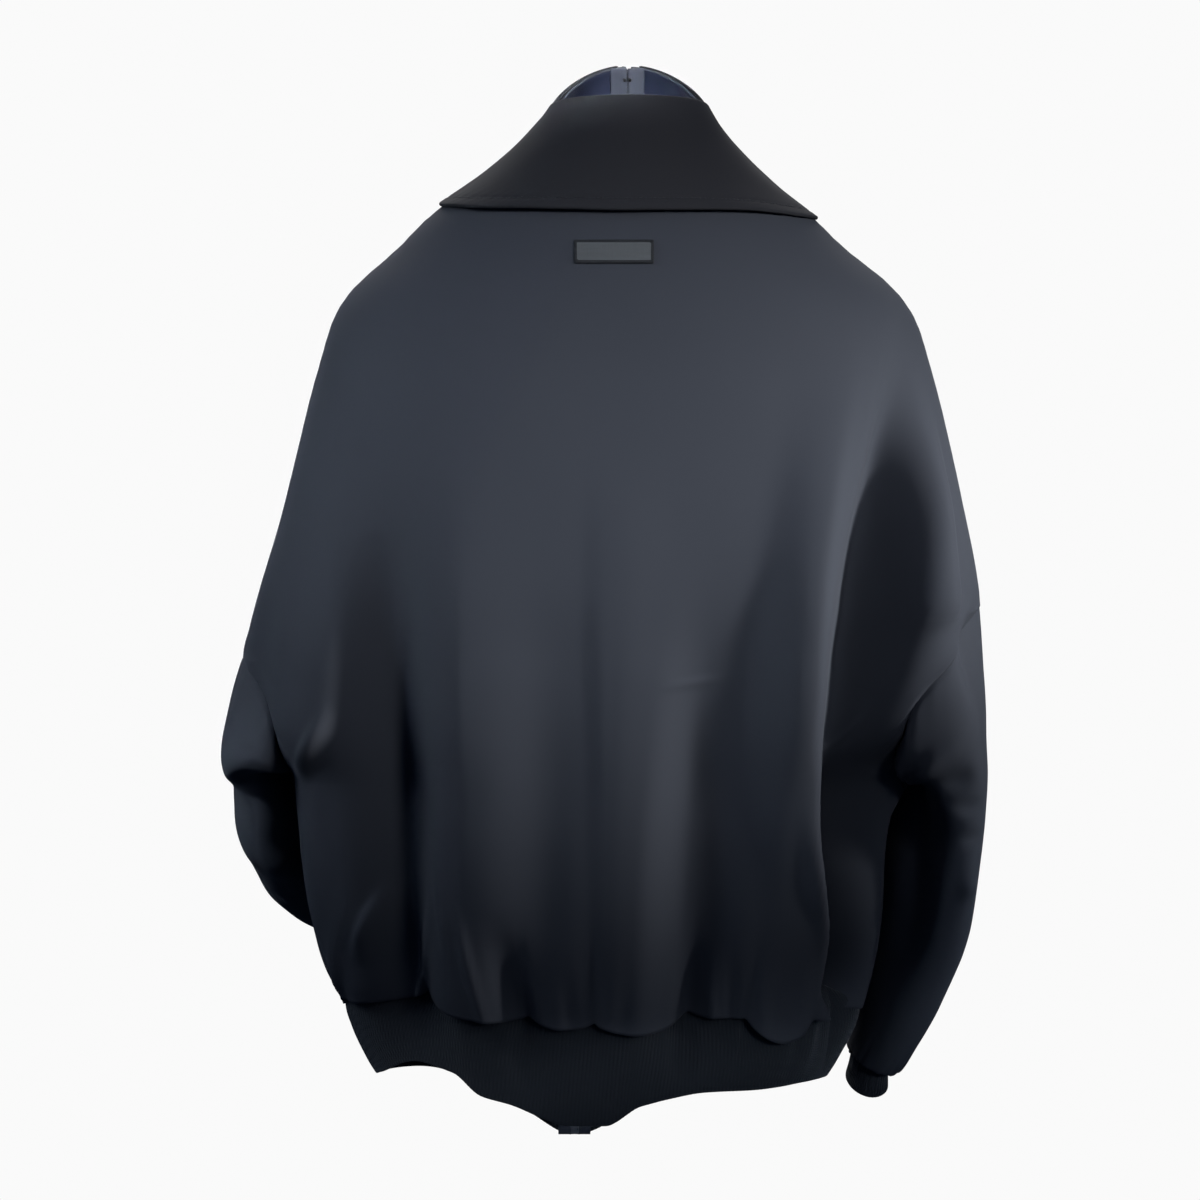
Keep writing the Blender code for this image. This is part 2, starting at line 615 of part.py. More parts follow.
def add_front(name, side):
    """A front panel, from the side seam to the zip."""
    rows = body_rows()
    start = zip_edge_share(side, rows, ZIP_HALF_GAP)[:, None]
    share = start + (1 - start) * np.linspace(0, 1, FRONT_COLUMNS + 1)[None, :] ** 1.05
    outer, inner = thick(*body(side, FRONT, share, rows[:, None]), SHELL_WALL)
    add_wall(name, *part_edges(outer, inner, SEAM_GAP / 2, ("right", "top")), "satin")


def ring_axes(tilt, pitch, yaw):
    """Unit vectors to a ring's outer side and to its back, counted outwards from the body."""
    tilt, pitch, yaw = (np.radians(v) for v in (tilt, pitch, yaw))
    zero = 0 * tilt
    across = np.stack([np.cos(tilt), np.sin(pitch) * np.sin(tilt), np.cos(pitch) * np.sin(tilt)], -1)
    deep = np.stack([zero, np.cos(pitch), -np.sin(pitch)], -1)

    def turned(v):
        x, y, z = v[..., 0], v[..., 1], v[..., 2]
        return np.stack([x * np.cos(yaw) - y * np.sin(yaw), x * np.sin(yaw) + y * np.cos(yaw), z], -1)

    return turned(across), turned(deep)


def plain_ring(side, at, around):
    """Points of a sleeve's rings, before the armhole and the folds. around is in radians."""
    table = SLEEVES[side]

    def look(name):
        return smooth_curve(column(table, RING_COLUMNS, "at"), column(table, RING_COLUMNS, name), at)

    centre = np.stack([look("out"), look("y"), look("height")], -1)
    across, deep = ring_axes(look("tilt"), look("pitch"), look("yaw"))
    wide = (look("half_width") * np.cos(around))[..., None]
    long = (look("half_depth") * np.sin(around))[..., None]
    return centre + across * wide + deep * long


def armhole_ring(side, around):
    """Points of the armhole's seam, counted outwards from the body, and the body's directions."""
    around = np.mod(around, 2 * math.pi)
    face = np.where(around <= math.pi, BACK, FRONT)
    row = ARM_ROW + np.where(around <= math.pi, around, 2 * math.pi - around) / math.pi
    points, outward = body(side, face, np.ones(around.shape), row)
    flip = np.array([side, 1.0, 1.0])
    return points * flip, outward * flip


def sleeve_fold_depth(side, at, around):
    """How far the sleeve's folds move it out."""
    total = np.zeros(np.broadcast(at, around).shape)
    for fold in lines(SLEEVE_FOLDS, SLEEVE_FOLD_COLUMNS):
        if fold["side"] != side:
            continue
        turned = np.abs(np.mod(np.degrees(around) - fold["around"] + 180, 360) - 180)
        across = np.clip(turned / fold["half_around"], 0, 1)
        along = np.clip(np.abs(at - fold["at"]) / fold["half_at"], 0, 1)
        total = total + fold["depth"] * (1 + np.cos(math.pi * across)) * (
            1 + np.cos(math.pi * along)) / 4
    return total


def sleeve(side, at, around):
    """Outer points of a sleeve, counted outwards from the body."""
    at, around = np.broadcast_arrays(at, around)
    points = plain_ring(side, at, around)
    seam, _ = armhole_ring(side, around)
    start = plain_ring(side, 0 * at, around)
    fade = (1 - ease(at / 0.2))[..., None]
    points = points + (seam - start) * fade
    centre = plain_ring(side, at, around + math.pi)
    outward = points - (points + centre) / 2
    outward = outward / np.maximum(np.linalg.norm(outward, axis=-1, keepdims=True), 1e-9)
    return points + outward * sleeve_fold_depth(side, at, around)[..., None]


def grid_directions(points):
    """Outward directions of a tube's grid, rows along it and columns round it."""
    along = np.gradient(points, axis=0)
    round_it = np.roll(points, -1, 1) - np.roll(points, 1, 1)
    outward = np.cross(round_it, along)
    centre = points.mean(1, keepdims=True)
    if ((points - centre) * outward).sum() < 0:
        outward = -outward
    return outward / np.maximum(np.linalg.norm(outward, axis=-1, keepdims=True), 1e-9)


def sleeve_grid(side, rows, columns):
    """(outer, outward) points of a sleeve's grid in the body's frame."""
    at = np.concatenate([np.linspace(0, 0.3, rows // 2, endpoint=False),
                         np.linspace(0.3, 1, rows - rows // 2)])
    around = np.arange(columns) * 2 * math.pi / columns
    points = sleeve(side, at[:, None], around[None, :])
    outward = grid_directions(points)
    _, body_out = armhole_ring(side, around)
    with_body = (np.cos(around / 2) ** 2)[:, None]
    first = outward[0] * (1 - with_body) + body_out * with_body
    outward[0] = first / np.linalg.norm(first, axis=-1, keepdims=True)
    flip = np.array([side, 1.0, 1.0])
    return points * flip, outward * flip


def add_sleeve(name, side):
    """A sleeve, from the armhole to the seam on the cuff."""
    points, outward = sleeve_grid(side, SLEEVE_ROWS, 2 * ARMHOLE_STEPS)
    outer, inner = thick(points, outward, SHELL_WALL)
    outer, inner = part_edges(outer, inner, ARM_SEAM_GAP, ("top",))
    add_wall(name, *part_edges(outer, inner, SEAM_GAP / 2, ("bottom",)), "satin", closed=True)
    return outer[-1], outward[-1]


def add_cuff(name, side, seam_ring):
    """A knitted cuff on the sleeve's last ring."""
    size = CUFFS[side]
    flip = np.array([side, 1.0, 1.0])
    top = seam_ring * flip
    centre = top.mean(0)
    reach = np.linalg.norm(top - centre, axis=-1, keepdims=True)
    top = centre + (top - centre) * (1 - size["inset"] / reach)
    across, deep = ring_axes(*(np.array(float(size[k])) for k in ("tilt", "pitch", "yaw")))
    onward = np.cross(across, deep)
    onward = onward * -np.sign(onward[2])
    around = np.arange(2 * ARMHOLE_STEPS) * 2 * math.pi / (2 * ARMHOLE_STEPS)
    foot = (centre + onward * size["length"] + across * size["foot_width"] * np.cos(around)[:, None]
            + deep * size["foot_depth"] * np.sin(around)[:, None])
    share = np.linspace(0, 1, CUFF_ROWS + 1)[:, None, None]
    points = top + (foot - top) * share + onward * SEAM_GAP
    outward = grid_directions(points)
    outer, inner = thick(points * flip, outward * flip, KNIT_WALL)
    add_wall(name, outer, inner, "knit", closed=True)


def front_ring(columns_back, columns_front, edge_share):
    """(side, face, share) round the body, from the zip's left edge over the back to its right edge."""
    front = edge_share + (1 - edge_share) * np.linspace(0, 1, columns_front + 1)
    back = np.linspace(0, 1, columns_back + 1)
    places = [(LEFT, FRONT, s) for s in front]
    places += [(LEFT, BACK, s) for s in back[::-1][1:]]
    places += [(RIGHT, BACK, s) for s in back[1:]]
    places += [(RIGHT, FRONT, s) for s in front[::-1][1:]]
    return np.array(places, float).T


def add_hem_band():
    """The knitted hem band, from one side of the zip round the back to the other."""
    edge = float(zip_edge_share(LEFT, np.array([float(SEAM_ROW)]), ZIP_HALF_GAP)[0])
    side, face, share = front_ring(BACK_COLUMNS, FRONT_COLUMNS, edge)
    seam, outward = body(side, face, share, np.full(share.shape, float(SEAM_ROW)))
    flat = outward * np.array([1.0, 1.0, 0.0])
    flat = flat / np.linalg.norm(flat, axis=-1, keepdims=True)
    turn = turn_of(side, face, share)
    top = seam - flat * BAND_IN + np.array([0.0, 0.0, BAND_UP])
    foot_height = hem_height("band", turn)
    _, _, middle, _, _ = section(side, face, foot_height)
    reach = np.where(side == LEFT, BAND_FOOT["left"] - middle, BAND_FOOT["right"] + middle)
    line = BAND_FOOT["side"]
    depth = np.where(face == BACK, BAND_FOOT["back"] - line, BAND_FOOT["front"] + line)
    x, y, _ = quarter_arc(reach, depth, np.full(reach.shape, BAND_FOOT["boxiness"]), share,
                          np.full(reach.shape, math.pi / 2))
    foot = np.stack([middle + side * x, line + face * y, foot_height], -1)
    down = np.linspace(0, 1, BAND_ROWS + 1)[:, None, None]
    points = top + (foot - top) * down + flat * (3.0 * np.sin(math.pi * down) * down)
    outer, inner = thick(points, np.broadcast_to(flat, points.shape), KNIT_WALL)
    add_wall("hem_band", outer, inner, "knit")


def neckband_ring(turn):
    """Points of the neckband's top edge."""
    middle = section(np.array(1.0), np.array(1.0), np.array(float(NECKBAND_TOP_BACK)))[2]
    left = np.mod(turn, 4) <= 2
    back = (np.mod(turn, 4) <= 1) | (np.mod(turn, 4) >= 3)
    reach = np.where(left, NECKBAND_TOP["left"] - middle, NECKBAND_TOP["right"] + middle)
    depth = np.where(back, NECKBAND_TOP["back"], NECKBAND_TOP["front"])
    angle = turn * math.pi / 2
    facing = np.cos(angle)
    end = np.where(back, NECKBAND_TOP_BACK, NECKBAND_TOP_FRONT)
    power = np.where(back, NECKBAND_ROUNDNESS_BACK, NECKBAND_ROUNDNESS_FRONT)
    height = NECKBAND_TOP_SIDE + (end - NECKBAND_TOP_SIDE) * np.abs(facing) ** power
    return np.stack([middle + reach * np.sin(angle), depth * facing, height], -1)


def add_neckband():
    """The satin neckband, which stands on the neckline and is split by the zip."""
    edge = float(zip_edge_share(LEFT, np.array([float(NECK_ROW)]), ZIP_HALF_GAP)[0])
    side, face, share = front_ring(BACK_COLUMNS - 3, FRONT_COLUMNS - 1, edge)
    neck, flat = body(side, face, share, np.zeros(share.shape))
    top = neckband_ring(turn_of(side, face, share))
    top[[0, -1], 0] = neck[[0, -1], 0]
    up = np.linspace(0, 1, NECKBAND_ROWS + 1)[:, None, None]
    points = neck + (top - neck) * up + np.array([0.0, 0.0, SEAM_GAP])
    outer, inner = thick(points, np.broadcast_to(flat, points.shape), KNIT_WALL)
    add_wall("neckband", outer, inner, "satin")


def fall_profile(turn_share, down):
    """Outer points of the collar's fall: turn_share -1 to 1 along it, down 0 to 1 from the fold."""
    top_turn, edge_turn = turn_share * FALL_FRONT_TURN_TOP, turn_share * FALL_FRONT_TURN_EDGE
    top = neckband_ring(top_turn)
    away = np.stack([np.sin(top_turn * math.pi / 2), np.cos(top_turn * math.pi / 2), 0 * top_turn], -1)
    top = top + away * (FALL_WALL + FALL_OFF_NECKBAND) + np.array([0.0, 0.0, 1.5])
    turn = np.mod(edge_turn, 4)
    side = np.where(turn <= 2, LEFT, RIGHT)
    face = np.where((turn <= 1) | (turn >= 3), BACK, FRONT)
    share = 1 - np.abs(np.mod(turn, 2) - 1)
    height = round_curve(
        column(FALL_EDGE, FALL_COLUMNS, "turn"), column(FALL_EDGE, FALL_COLUMNS, "height"), turn)
    reach, depth, middle, line, boxiness = section(side, face, height)
    x, y, _ = quarter_arc(reach, depth, boxiness, share, np.full(reach.shape, math.pi / 2))
    out_x, out_y = (x / reach) ** (boxiness - 1) / reach, (y / depth) ** (boxiness - 1) / depth
    size = np.hypot(out_x, out_y)
    out = np.stack([side * out_x / size, face * out_y / size, 0 * size], -1)
    slope = 0.55 + 0.45 * np.abs(np.sin(edge_turn * math.pi / 2))
    rest = np.stack([middle + side * x, line + face * y, height], -1)
    edge = rest + (out + np.stack([0 * slope, 0 * slope, slope], -1)) * (FALL_WALL + FALL_OFF_BODY)
    at_side = np.sin(edge_turn * math.pi / 2)[..., None] ** 2
    most = np.where(side == LEFT, FALL_HOLLOW["left"], FALL_HOLLOW["right"])[..., None]
    hollow = FALL_HOLLOW["middle"] + (most - FALL_HOLLOW["middle"]) * at_side
    middle_point = (top + edge) / 2 - out * hollow
    down = down[..., None]
    return (1 - down) ** 2 * top + 2 * down * (1 - down) * middle_point + down**2 * edge


def add_collar_fall():
    """The knitted fall, folded down over the neckband and lying on the shoulders."""
    share = np.linspace(1, -1, FALL_STEPS + 1)[None, :]
    down = np.linspace(0, 1, FALL_ROWS + 1)[:, None]
    share, down = np.broadcast_arrays(share, down)
    points = fall_profile(share, down)
    along, across = np.gradient(points, axis=0), np.gradient(points, axis=1)
    outward = np.cross(across, along)
    outward = outward * np.sign((outward * (points - points.mean((0, 1)))).sum())
    outward = outward / np.linalg.norm(outward, axis=-1, keepdims=True)
    outer, inner = thick(points, outward, FALL_WALL)
    add_wall("collar_fall", outer, inner, "knit")


def front_line():
    """Rows of (height, y of the inner face) down the middle of the front, piece by piece."""
    neck, _ = body(LEFT, FRONT, 0.0, NECK_ROW)
    top = neckband_ring(np.array(2.0))
    rows = body_rows()
    fronts, _ = body(LEFT, FRONT, 0.0, rows[rows <= FOLD_ROW])
    seam, _ = body(LEFT, FRONT, 0.0, SEAM_ROW)
    foot = -BAND_FOOT["front"]
    band_top = seam[1] + BAND_IN, seam[2] + BAND_UP
    return (
        np.array([(top[2], top[1] + KNIT_WALL), (neck[2], neck[1] + KNIT_WALL)]),
        np.stack([fronts[:, 2], fronts[:, 1] + SHELL_WALL], -1),
        np.array([(band_top[1], band_top[0] + KNIT_WALL), (ZIP_FOOT, foot + KNIT_WALL)]),
    )


def zip_line(height):
    """(x, y) of the tapes' front face at those heights: behind every piece it passes."""
    height = np.asarray(height, float)
    behind = np.full(height.shape, -1e9)
    for piece in front_line():
        for share in (-1, 0, 1):
            at = height + share * np.where(height < HEM_ZONE, ZIP_REACH_HEM, ZIP_REACH)
            y = smooth_curve(piece[:, 0], piece[:, 1], at) if len(piece) > 2 else np.interp(
                at, piece[::-1, 0], piece[::-1, 1])
            near = (at <= piece[:, 0].max() + 1) & (at >= piece[:, 0].min() - 1)
            behind = np.where(near, np.maximum(behind, y), behind)
    _, _, middle, _, _ = section(LEFT, FRONT, height)
    return middle, behind + TAPE_BEHIND


def zip_heights():
    """Heights of the tapes' rows: the fronts' own rows, so that the two stay apart."""
    rows = body_rows()
    arm = rows[(rows >= ARM_ROW) & (rows < UNDERARM_ROW)][::3]
    kept = np.concatenate([rows[rows < ARM_ROW], arm, rows[(rows >= UNDERARM_ROW) & (rows <= FOLD_ROW)]])
    fronts = height_of(float(LEFT), float(FRONT), 0.0, kept)
    return np.concatenate([
        np.linspace(ZIP_TOP, fronts[0], NECKBAND_ROWS + 1, endpoint=False), fronts,
        np.linspace(fronts[-1], ZIP_FOOT, BAND_ROWS + 2)[1:],
    ])


def add_tape(name, side):
    """One tape of the zip with its half of the chain, down the whole front."""
    height = zip_heights()
    x, y = zip_line(height)
    reach, depth, _, _, boxiness = section(side, FRONT, height)
    profile = (
        (CHAIN_GAP, -CHAIN_PROUD), (CHAIN_GAP, TAPE_WALL), (CHAIN_HALF_WIDTH, TAPE_WALL),
        (TAPE_HALF_WIDTH, TAPE_WALL), (TAPE_HALF_WIDTH, 0), (CHAIN_HALF_WIDTH, 0),
        (CHAIN_HALF_WIDTH, -CHAIN_PROUD),
    )
    points = []
    for out, back in profile:
        round_off = depth * (1 - (1 - (out / reach) ** boxiness) ** (1 / boxiness)) + (
            TAPE_CURVE * out / TAPE_HALF_WIDTH)
        points.append(np.stack([x + side * out, y + back + round_off, height], -1))
    points = np.stack(points, 1)
    count = len(profile)
    faces = []
    for row in range(len(height) - 1):
        for k in range(count):
            a, b = row * count + k, row * count + (k + 1) % count
            faces.append([a, b, b + count, a + count])
    last = (len(height) - 1) * count
    chain, tape = (0, 6, 5, 2, 1), (2, 5, 4, 3)
    faces += [list(chain), list(tape)]
    faces += [[last + k for k in reversed(chain)], [last + k for k in reversed(tape)]]
    add_solid(name, points.reshape(-1, 3), faces, "tape")


def slider_frame():
    """(origin, forwards, upwards) of the slider on the tapes' front face."""
    heights = np.array([SLIDER_HEIGHT + 8.0, SLIDER_HEIGHT, SLIDER_HEIGHT - 30.0])
    x, y = zip_line(heights)
    upwards = np.array([0.0, y[0] - y[2], heights[0] - heights[2]])
    upwards = upwards / np.linalg.norm(upwards)
    forwards = np.array([0.0, -upwards[2], upwards[1]])
    return np.array([x[1], y[1], heights[1]]), forwards, upwards


def prism(outline, near, far, frame):
    """(points, faces) of an outline of (x, up) drawn out forwards from near to far."""
    origin, forwards, upwards = frame
    count = len(outline)
    points = [
        origin + np.array([x, 0.0, 0.0]) + upwards * up + forwards * depth
        for depth in (near, far) for x, up in outline
    ]
    faces = [list(range(count)), list(range(2 * count - 1, count - 1, -1))]
    faces += [[k, k + count, (k + 1) % count + count, (k + 1) % count] for k in range(count)]
    return points, faces


def oblong(width, low, high):
    """An outline as wide as that, from low to high."""
    return ((-width / 2, low), (width / 2, low), (width / 2, high), (-width / 2, high))


def add_joined(name, parts, colour):
    """One solid made of overlapping prisms."""
    solids = [add_solid(f"{name}_{i}", *part, colour) for i, part in enumerate(parts)]
    whole = solids[0]
    for other in solids[1:]:
        union = whole.modifiers.new("join", "BOOLEAN")
        union.operation, union.solver, union.object = "UNION", "EXACT", other
    bpy.context.view_layer.update()
    shape = whole.evaluated_get(bpy.context.evaluated_depsgraph_get())
    mesh = bpy.data.meshes.new_from_object(shape)
    for solid in solids:
        bpy.data.objects.remove(solid)
    mesh.name = name
    obj = bpy.data.objects.new(name, mesh)
    bpy.context.scene.collection.objects.link(obj)
    return obj


def add_slider_and_pull():
    """The slider on its chain, and the pull tab that swings on the slider's bail."""
    frame = slider_frame()
    face = TAPE_BEHIND + KNIT_WALL + SLIDER_CLEAR
    front = face + SLIDER_PLATE
    stem = oblong(SLIDER_STEM_WIDTH, -SLIDER_STEM_LENGTH / 2, SLIDER_STEM_LENGTH / 2)
    half, bar = BAIL_LENGTH / 2, BAIL_BAR
    foot = front - 0.4
    add_joined("zip_slider", [
        prism(oblong(SLIDER_WIDTH, -SLIDER_LENGTH / 2, SLIDER_LENGTH / 2), face, front, frame),
        prism(stem, CHAIN_PROUD + SLIDER_CLEAR, front - 0.4, frame),
        prism(oblong(BAIL_WIDTH, half - bar, half), foot, front + BAIL_HEIGHT, frame),
        prism(oblong(BAIL_WIDTH, -half, bar - half), foot, front + BAIL_HEIGHT, frame),
        prism(oblong(BAIL_WIDTH - 0.2, 0.2 - half, half - 0.2), front + BAIL_HEIGHT - bar,
              front + BAIL_HEIGHT - 0.1, frame),
    ], "metal")
    middle = front + (BAIL_HEIGHT - BAIL_BAR) / 2
    near, far = middle - PULL_THICKNESS / 2, middle + PULL_THICKNESS / 2
    eye_top = bar - half + EYE_CLEAR
    eye_foot = eye_top - EYE_LENGTH
    end, top = eye_foot - PULL_LENGTH, eye_top + EYE_RIM
    wide, narrow, eye = PULL_WIDTH / 2, PULL_FOOT_WIDTH / 2, EYE_WIDTH / 2
    outline = (
        (-wide, top), (wide, top), (wide, eye_foot), (narrow, end + PULL_CHAMFER),
        (narrow - PULL_CHAMFER, end), (PULL_CHAMFER - narrow, end), (-narrow, end + PULL_CHAMFER),
        (-wide, eye_foot), (-eye, eye_top), (eye, eye_top), (eye, eye_foot), (-eye, eye_foot),
    )
    plates = ((0, 1, 9, 8), (1, 2, 10, 9), (7, 0, 8, 11), (7, 11, 10, 2, 3, 4, 5, 6))
    rims = [(k, (k + 1) % 8) for k in range(8)] + [(9, 8), (10, 9), (11, 10), (8, 11)]
    points, _ = prism(outline, near, far, frame)
    count = len(outline)
    faces = [list(plate) for plate in plates]
    faces += [[k + count for k in reversed(plate)] for plate in plates]
    faces += [[b, a, a + count, b + count] for a, b in rims]
    origin, forwards, upwards = frame
    axis = origin + forwards * middle + upwards * (eye_top + EYE_RIM / 2)
    add_solid("zip_pull", points, faces, "metal", axis)


def add_patch():
    """The plain patch on the upper back, made from the back's own surface moved out."""
    x = PATCH["middle"] + PATCH["width"] * np.linspace(0.5, -0.5, 5)[None, :]
    height = PATCH["height"] + PATCH["length"] * np.linspace(0.5, -0.5, 3)[:, None]
    x, height = np.broadcast_arrays(x, height)
    _, _, middle, _, _ = section(LEFT, BACK, height)
    reach, depth, _, line, boxiness = section(np.where(x > middle, LEFT, RIGHT), BACK, height)
    y = line + depth * (1 - (np.abs(x - middle) / reach) ** boxiness) ** (1 / boxiness)
    surface = np.stack([x, y, height], -1)
    along, across = np.gradient(surface, axis=0), np.gradient(surface, axis=1)
    outward = np.cross(along, across)
    outward = outward / np.linalg.norm(outward, axis=-1, keepdims=True)
    outward = outward * np.sign(outward[..., 1:2])
    inner = surface + outward * PATCH["off"]
    add_wall("back_patch", inner + outward * PATCH["thickness"], inner, "patch")


def main():
    """Clears the scene and builds every piece."""
    for obj in list(bpy.data.objects):
        bpy.data.objects.remove(obj)
    add_back()
    add_front("front_left", LEFT)
    add_front("front_right", RIGHT)
    for word, side in (("left", LEFT), ("right", RIGHT)):
        ring, _ = add_sleeve(f"sleeve_{word}", side)
        add_cuff(f"cuff_{word}", side, ring)
    add_hem_band()
    add_neckband()
    add_collar_fall()
    add_tape("zip_left", LEFT)
    add_tape("zip_right", RIGHT)
    add_slider_and_pull()
    add_patch()


main()
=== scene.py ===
"""Looks of a track jacket that hangs filled out, as it is worn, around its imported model.

Sizes are in millimetres, and MM turns them into the scene's metres. +Z is up, the front faces -Y
and the wearer's left is +X. The body is a tube of boxy ovals: a place on it is (side, face, share,
row), where share runs from 0 at the middle of a face to 1 at its outer edge.
"""

import json
import logging
import math
from collections.abc import Callable, Iterable, Sequence
from dataclasses import dataclass, field
from enum import Enum, IntEnum

import bpy
import numpy as np
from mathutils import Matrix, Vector

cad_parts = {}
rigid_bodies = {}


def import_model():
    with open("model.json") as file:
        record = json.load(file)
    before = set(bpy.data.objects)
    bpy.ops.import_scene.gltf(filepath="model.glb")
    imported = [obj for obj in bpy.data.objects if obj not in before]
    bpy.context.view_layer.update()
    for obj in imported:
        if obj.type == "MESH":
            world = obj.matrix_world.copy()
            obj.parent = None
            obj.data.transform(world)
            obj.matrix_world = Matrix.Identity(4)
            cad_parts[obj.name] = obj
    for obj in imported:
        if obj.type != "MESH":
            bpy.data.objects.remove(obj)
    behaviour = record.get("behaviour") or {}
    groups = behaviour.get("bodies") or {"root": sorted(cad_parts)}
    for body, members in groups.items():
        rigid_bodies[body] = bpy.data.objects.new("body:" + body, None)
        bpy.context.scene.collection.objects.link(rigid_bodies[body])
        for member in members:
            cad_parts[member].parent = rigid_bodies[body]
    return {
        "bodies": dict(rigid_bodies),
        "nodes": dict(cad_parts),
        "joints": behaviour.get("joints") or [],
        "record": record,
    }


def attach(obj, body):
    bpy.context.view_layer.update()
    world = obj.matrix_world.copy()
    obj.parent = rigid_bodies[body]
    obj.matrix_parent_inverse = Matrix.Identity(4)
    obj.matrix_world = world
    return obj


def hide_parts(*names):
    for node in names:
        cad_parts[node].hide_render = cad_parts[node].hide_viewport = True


MM = 0.001
LOG = logging.getLogger("jacket")
QUARTER = math.pi / 2
Array = np.ndarray
Object = bpy.types.Object
Material = bpy.types.Material
Socket = bpy.types.NodeSocket
Sockets = dict[str, Socket]
Pair = tuple[float, float]
Triple = tuple[float, float, float]
Quad = tuple[float, float, float, float]
# A finish's tone, its share of the roughness, and its bumps with their depths
Look = tuple[Socket, Socket, list[tuple[Socket, float]]]
# Depth, size and random seed of each layer of unevenness
Waves = Sequence[tuple[float, float, int]]


class Side(IntEnum):
    """The wearer's side, as the sign of X."""

    LEFT = 1
    RIGHT = -1

    @property
    def word(self) -> str:
        """The side as a word in a piece's name."""
        return self.name.lower()

    @property
    def flip(self) -> Array:
        """Turns places counted outwards from the body into the frame's own."""
        return np.array([float(self), 1.0, 1.0])


class Face(IntEnum):
    """The face of the body, as the sign of Y."""

    BACK = 1
    FRONT = -1


class Row(IntEnum):
    """Rows of the body, from the neckline to the seam on the hem band."""

    NECK = 0
    ARM = 1
    UNDERARM = 2
    FOLD = 3
    SEAM = 4


class Slot(Enum):
    """The record's material slots."""

    SATIN = "satin"
    KNIT = "knit"
    TAPE = "tape"
    METAL = "metal"
    PATCH = "patch"


# ---------------------------------------------------------------- tables


@dataclass(frozen=True)
class Section:
    """Outline of the body at one height: how far it reaches each way, its middles and boxiness."""

    height: float
    left: float
    right: float
    back: float
    front: float
    side: float
    back_middle: float
    front_middle: float
    boxiness: float


@dataclass(frozen=True)
class Armhole:
    """A quarter of an armhole: how deep it is cut, and how far it bows inwards."""

    side: Side
    face: Face
    depth: float
    bow: float


@dataclass(frozen=True)
class HemPoint:
    """Heights of the blouse's and the band's lower edges at a turn round the body."""

    turn: float
    blouse: float
    band: float


@dataclass(frozen=True)
class Gather:
    """A lobe of cloth that hangs over the hem band."""

    turn: float
    half_width: float
    hang: float
    bulge: float


@dataclass(frozen=True)
class Fold:
    """A fold of the body: its distance from the face's middle at three heights, and its depth.

    outer is its half width on the side away from the middle, where that differs.
    """

    side: Side
    face: Face
    high_at: float
    high: float
    mid_at: float
    mid: float
    low_at: float
    low: float
    half_width: float
    depth: float
    deepest: float
    outer: float = 0.0


@dataclass(frozen=True)
class Ring:
    """A ring of a sleeve, counted outwards from the body: centre, half sizes and turns."""

    at: float
    out: float
    y: float
    height: float
    half_width: float
    half_depth: float
    tilt: float
    pitch: float
    yaw: float


@dataclass(frozen=True)
class Wrinkle:
    """A short wrinkle of the body: its middle, half sizes along and across, lean and depth."""

    side: Side
    face: Face
    distance: float
    height: float
    half_long: float
    half_wide: float
    lean: float
    depth: float


@dataclass(frozen=True)
class SleeveFold:
    """A fold of a sleeve: where along it and round it, in degrees, and how deep.

    lean is how far it moves along the sleeve in a quarter turn, and onward its half length past its
    middle, where that differs.
    """

    at: float
    around: float
    half_at: float
    half_around: float
    depth: float
    lean: float = 0.0
    onward: float = 0.0


@dataclass(frozen=True)
class CuffCut:
    """Sizes of a knitted cuff."""

    length: float
    inset: float
    foot_width: float
    foot_depth: float
    pitch: float
    yaw: float
    tilt: float


@dataclass(frozen=True)
class FallPoint:
    """Height of the collar's lower edge at a turn round the neck."""

    turn: float
    height: float


L, R, B, F = Side.LEFT, Side.RIGHT, Face.BACK, Face.FRONT


def lines_of(kind: type, *lines: Sequence[float]) -> tuple:
    """A table whose lines are each made into that kind."""
    return tuple(kind(*line) for line in lines)


SECTIONS = lines_of(
    Section,
    (60, 58, 83, 70, 62, 0, -13, -12, 2.00), (0, 60, 85, 73, 68, 0, -13, -12, 2.00),
    (-20, 90, 110, 82, 74, 0, -9, -12, 2.02), (-36, 119, 133, 91, 81, 0, -7, -12, 2.04),
    (-51, 140, 152, 100, 88, 0, -5, -12, 2.06), (-78, 165, 179, 111, 99, -1, -3, -10, 2.12),
    (-110, 202, 220, 122, 109, -2, -1, -8, 2.25), (-135, 217, 236, 129, 115, -1, 0, -6, 2.36),
    (-156, 223, 242, 133, 119, -1, 0, -5, 2.45), (-195, 234, 253, 140, 124, 0, 1, -2, 2.60),
    (-273, 253, 271, 147, 131, 3, 2, 4, 2.75), (-351, 276, 285, 150, 136, 8, 3, 8, 2.80),
    (-370, 281, 286, 150, 137, 9, 3, 9, 2.80), (-392, 286, 287, 151, 138, 10, 3, 10, 2.80),
    (-480, 250, 223, 152, 142, 15, 4, 14, 2.50), (-507, 246, 218, 152, 143, 15, 5, 16, 2.45),
    (-546, 242, 213, 150, 144, 14, 5, 18, 2.40), (-585, 236, 212, 146, 145, 12, 5, 20, 2.35),
    (-616, 228, 209, 141, 146, 10, 6, 22, 2.32), (-640, 222, 205, 136, 146, 8, 6, 24, 2.30),
    (-665, 212, 199, 130, 145, 6, 6, 26, 2.28), (-700, 203, 185, 138, 144, 5, 6, 27, 2.26),
    (-760, 198, 181, 136, 140, 5, 6, 29, 2.25),
)
ARMHOLES = lines_of(
    Armhole,
    (L, B, 78, 0.27), (L, F, 76, 0.00), (R, B, 92, 0.42), (R, F, 84, 0.10),
)
